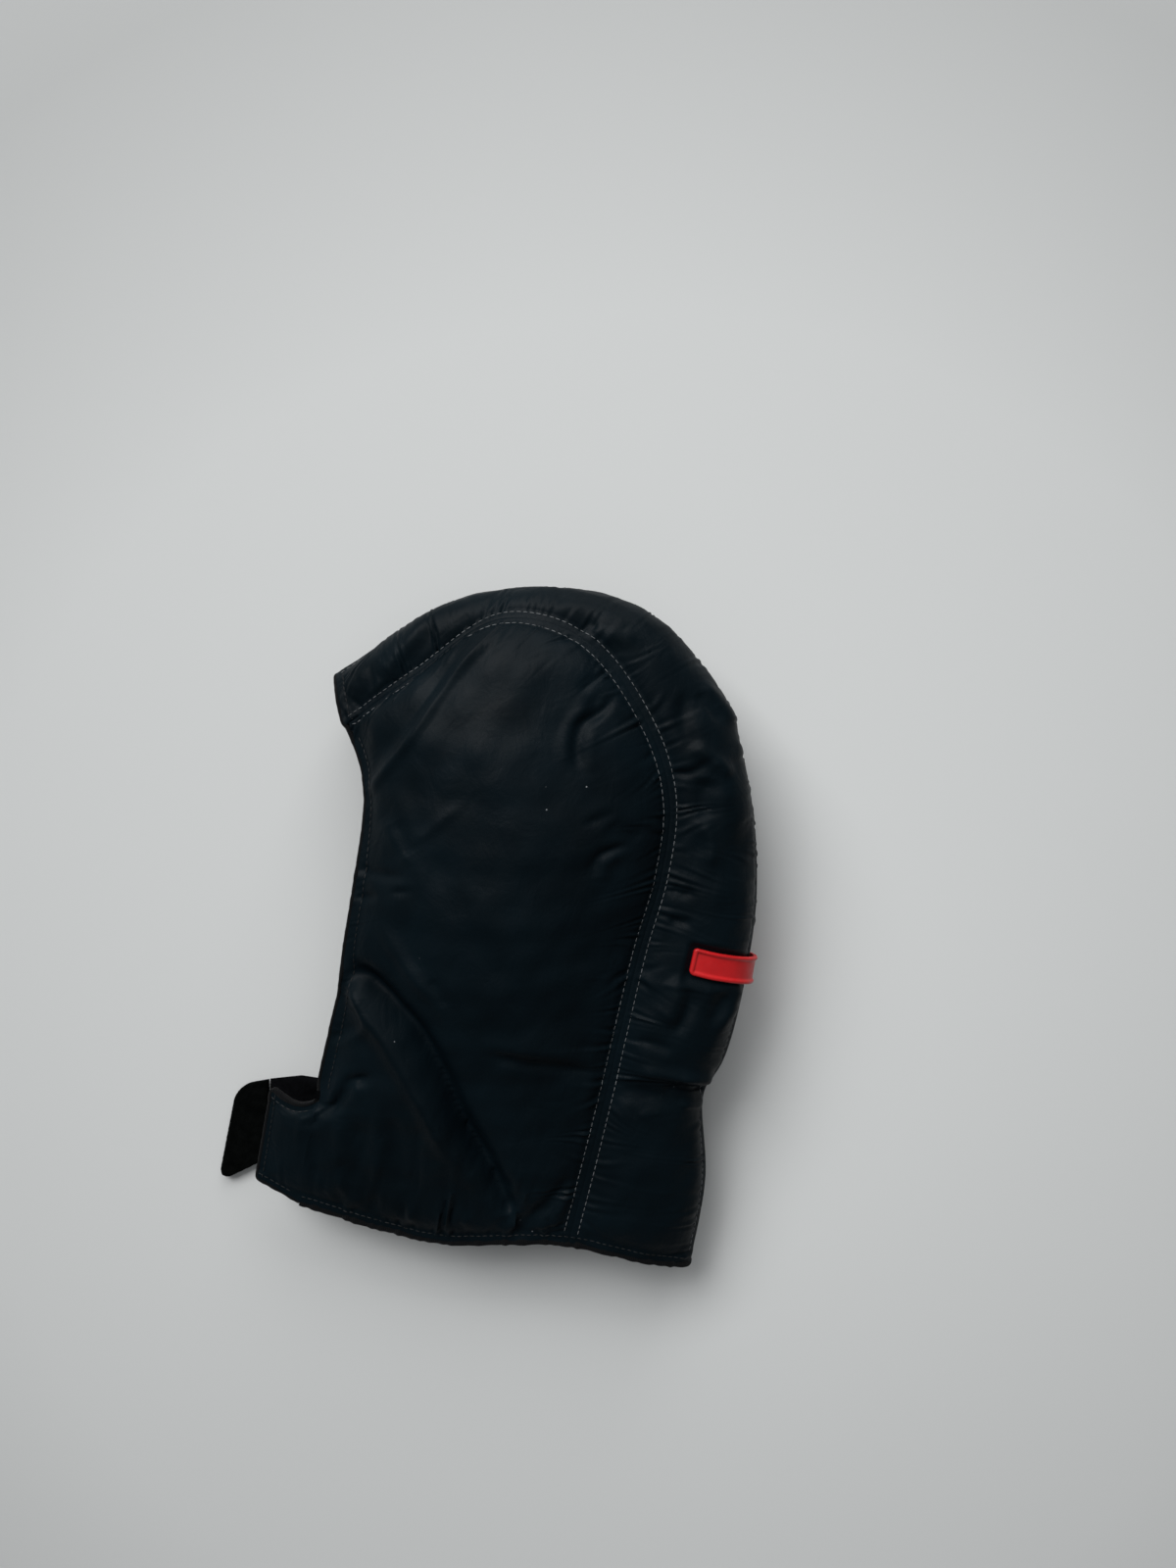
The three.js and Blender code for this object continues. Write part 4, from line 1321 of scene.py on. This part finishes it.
class HOOD_OT_stitching(HoodOperator, bpy.types.Operator):
    """Topstitches the seams, the edges, the hem and the flap"""

    bl_idname = "hood.stitching"
    bl_label = "Topstitching"

    def make(self, pattern, colours, stage):
        size = (pattern.stitch_pitch / MM, pattern.stitch_length / MM, pattern.thread_thickness / MM)
        lift = size[2] * 0.32
        sewn = SEAM_ALLOWANCE
        pairs = {
            "crown_seam_stitches_left": [("left_side", False), ("left_back", True)],
            "centre_seam_stitches": [("left_back", False), ("right_back", True)],
            "crown_seam_stitches_right": [("right_back", False), ("right_side", True)],
        }
        for name, sides in pairs.items():
            rows = []
            for panel, low in sides:
                line, normal = seam_line(panel, sewn, low)
                rows.append((line[2:-3], normal[2:-3], lift))
            sew(name, rows, *size, "thread", "hood")
        u = finer(SKIN["left_side"]["panel"].u[None, :, None])[0, :, 0]
        face = (u > 0.03) & (u < CHIN - 0.01)
        rows = []
        for panel, low in (("left_side", True), ("right_side", False)):
            line, normal = seam_line(panel, EDGE_ALLOWANCE, low)
            rows.append((line[face], normal[face], lift))
        for panel in ("left_back", "right_back"):
            rows.append((*end_line(SKIN[panel], EDGE_ALLOWANCE, False), lift))
        for panel in PANELS:
            rows.append((*end_line(SKIN[panel], 3.2, True), lift))
        sew("edge_stitches", rows, *size, "dark_thread", "hood")
        flap = SKIN["left_flap"]
        rows = [(*front_line(flap, 2.6), lift)]
        for last in (False, True):
            line, normal = end_line(flap, 2.8, last)
            rows.append((line[:-2], normal[:-2], lift))
        sew("flap_stitches", rows, *size, "dark_thread", "left_flap")


class HOOD_OT_rubber_tab(HoodOperator, bpy.types.Operator):
    """Moulds the plain rubber tab that bridges the centre back seam"""

    bl_idname = "hood.rubber_tab"
    bl_label = "Rubber tab"

    def make(self, pattern, colours, stage):
        length, height, radius = TAB_LENGTH, TAB_HEIGHT, TAB_CORNER
        columns, rows = 31, 97
        back = spline(PATTERN[0], np.linspace(0, 1, 400))
        per_u = arc(back[None], 1)[0][-1] * 0.985
        across = np.linspace(2, 6, 241)
        section = spline(cross_sections(np.array([TAB_AT]))[0], across / 8)
        reached = arc(section[None], 1)[0]
        reached -= reached[len(across) // 2]
        t = np.sin(np.linspace(-1, 1, rows) * math.pi / 2)
        s = np.sin(np.linspace(-1, 1, columns) * math.pi / 2)
        from_end = (1 - np.abs(t)) * length / 2
        short = radius - np.sqrt(np.maximum(radius**2 - np.maximum(radius - from_end, 0) ** 2, 0))
        half = height / 2 - short
        y = s[None, :] * half[:, None]
        x = np.repeat(t[:, None] * length / 2, columns, 1)
        u, v = TAB_AT + y / per_u, np.interp(x, reached, across)
        low = lining_point(u, v)
        along_back = lining_point(u + 0.002, v) - lining_point(u - 0.002, v)
        n = unit(np.cross(along_back, lining_point(u, v + 0.02) - lining_point(u, v - 0.02)))
        rim = np.minimum((half[:, None] - np.abs(y)), (length / 2 - np.abs(x)))
        sunk = smooth(1.6, 2.1, rim) * 0.85
        edge = 1 - np.sqrt(np.maximum(0, 1 - (1 - np.minimum(rim / 0.9, 1)) ** 2))
        outer = low + n * (TAB_TOP - sunk - 0.7 * edge)[..., None]
        inner = low + n * TAB_UNDERSIDE
        keep_above(outer, 0.05)
        keep_above(inner, 0.02)
        layer("moulded_tab", outer, inner, "rubber", "hood", "red_rubber", "rubber_tab")


class HOOD_OT_nape(HoodOperator, bpy.types.Operator):
    """Adds the nape elastic, its casing and a blank care label inside the back"""

    bl_idname = "hood.nape"
    bl_label = "Nape elastic and label"

    def make(self, pattern, colours, stage):
        self.strip("nape_elastic", (0.79, 0.845), (2.5, 5.5), -0.6, -1.6, 0.18, "elastic", "nape_elastic")
        casing = (0.789, 0.846), (2.49, 5.51), -1.85, -2.6, 0.25, "fleece", "elastic_casing"
        self.strip("nape_elastic_casing", *casing)
        self.strip("care_label", (0.88, 0.96), (3.1, 3.45), -0.7, -1.1, 0.0, "label", "label")

    def strip(self, name, u_range, v_range, top, bottom, ripple, material, slot):
        u = np.repeat(np.linspace(*u_range, 22)[None], 90, 0)
        v = np.repeat(np.linspace(*v_range, 90)[:, None], 22, 1)
        base = lining_point(u, v)
        n = normals_of(base)
        waves = ripple * np.sin(v * 30)[..., None]
        outer, inner = base + n * (top + waves), base + n * (bottom + waves)
        layer(f"{name}_piece", outer, inner, material, "hood", slot, name)


class HOOD_OT_stage(HoodOperator, bpy.types.Operator):
    """Sets the pale floor, the soft lights and the camera above"""

    bl_idname = "hood.stage"
    bl_label = "Stage"

    def make(self, pattern, colours, stage):
        bm = bmesh.new()
        bmesh.ops.create_grid(bm, x_segments=8, y_segments=8, size=4)
        floor = add_object("floor", bm, MATERIALS["floor"])
        scene = bpy.context.scene
        low, high = CAD_BOX
        centre = (low + high) / 2
        self.lamp("key", centre, (-1.9, 2.75, 3.4), 2.6, stage.key_power)
        self.lamp("fill", centre, (0.12, 0.1, 1.3), 0.8, stage.fill_power)
        self.lamp("window", centre, (0.25, 2.0, 1.0), 1.5, stage.window_power)
        world = bpy.data.worlds.new("room")
        world.use_nodes = True
        background = world.node_tree.nodes["Background"]
        background.inputs["Color"].default_value = (0.94, 0.97, 1.0, 1)
        background.inputs["Strength"].default_value = stage.ambient
        scene.world = world
        data = bpy.data.cameras.new("camera")
        data.lens, data.sensor_width = 27, 36
        data.clip_start, data.clip_end = 0.01, 20
        camera = bpy.data.objects.new("camera", data)
        camera.location = (0.0562, 0.0749, stage.camera_height)
        scene.collection.objects.link(camera)
        scene.camera = camera
        scene.view_settings.view_transform = "Standard"
        scene.view_settings.look = "None"

    def lamp(self, name, centre, away, size, power):
        data = bpy.data.lights.new(name, "AREA")
        data.shape = "RECTANGLE"
        data.size = data.size_y = size
        data.energy = power
        lamp = bpy.data.objects.new(name, data)
        lamp.location = centre + Vector(away)
        lamp.rotation_mode = "QUATERNION"
        lamp.rotation_quaternion = (-Vector(away)).to_track_quat("-Z", "Y")
        bpy.context.scene.collection.objects.link(lamp)


class HOOD_PT_panel(bpy.types.Panel):
    """Lists the steps that make the balaclava"""

    bl_label = "Padded balaclava"
    bl_idname = "HOOD_PT_panel"
    bl_space_type = "VIEW_3D"
    bl_region_type = "UI"
    bl_category = "Balaclava"

    def draw(self, context):
        for group in ("hood_pattern", "hood_colours", "hood_stage"):
            settings = getattr(context.scene, group)
            box = self.layout.box()
            for name in settings.__annotations__:
                box.prop(settings, name)
        for step in STEPS:
            self.layout.operator(step.bl_idname)


GROUPS = {"hood_pattern": HoodPattern, "hood_colours": HoodColours, "hood_stage": HoodStage}
STEPS = (
    HOOD_OT_panels,
    HOOD_OT_left_flap,
    HOOD_OT_right_flap,
    HOOD_OT_bindings,
    HOOD_OT_stitching,
    HOOD_OT_rubber_tab,
    HOOD_OT_nape,
    HOOD_OT_stage,
)


def register():
    for cls in (*GROUPS.values(), *STEPS, HOOD_PT_panel):
        bpy.utils.register_class(cls)
    for name, group in GROUPS.items():
        setattr(bpy.types.Scene, name, bpy.props.PointerProperty(type=group))


def unregister():
    for name in GROUPS:
        delattr(bpy.types.Scene, name)
    for cls in reversed((*GROUPS.values(), *STEPS, HOOD_PT_panel)):
        bpy.utils.unregister_class(cls)


def main():
    register()
    for step in STEPS:
        family, name = step.bl_idname.split(".")
        getattr(getattr(bpy.ops, family), name)()


if __name__ == "__main__":
    main()
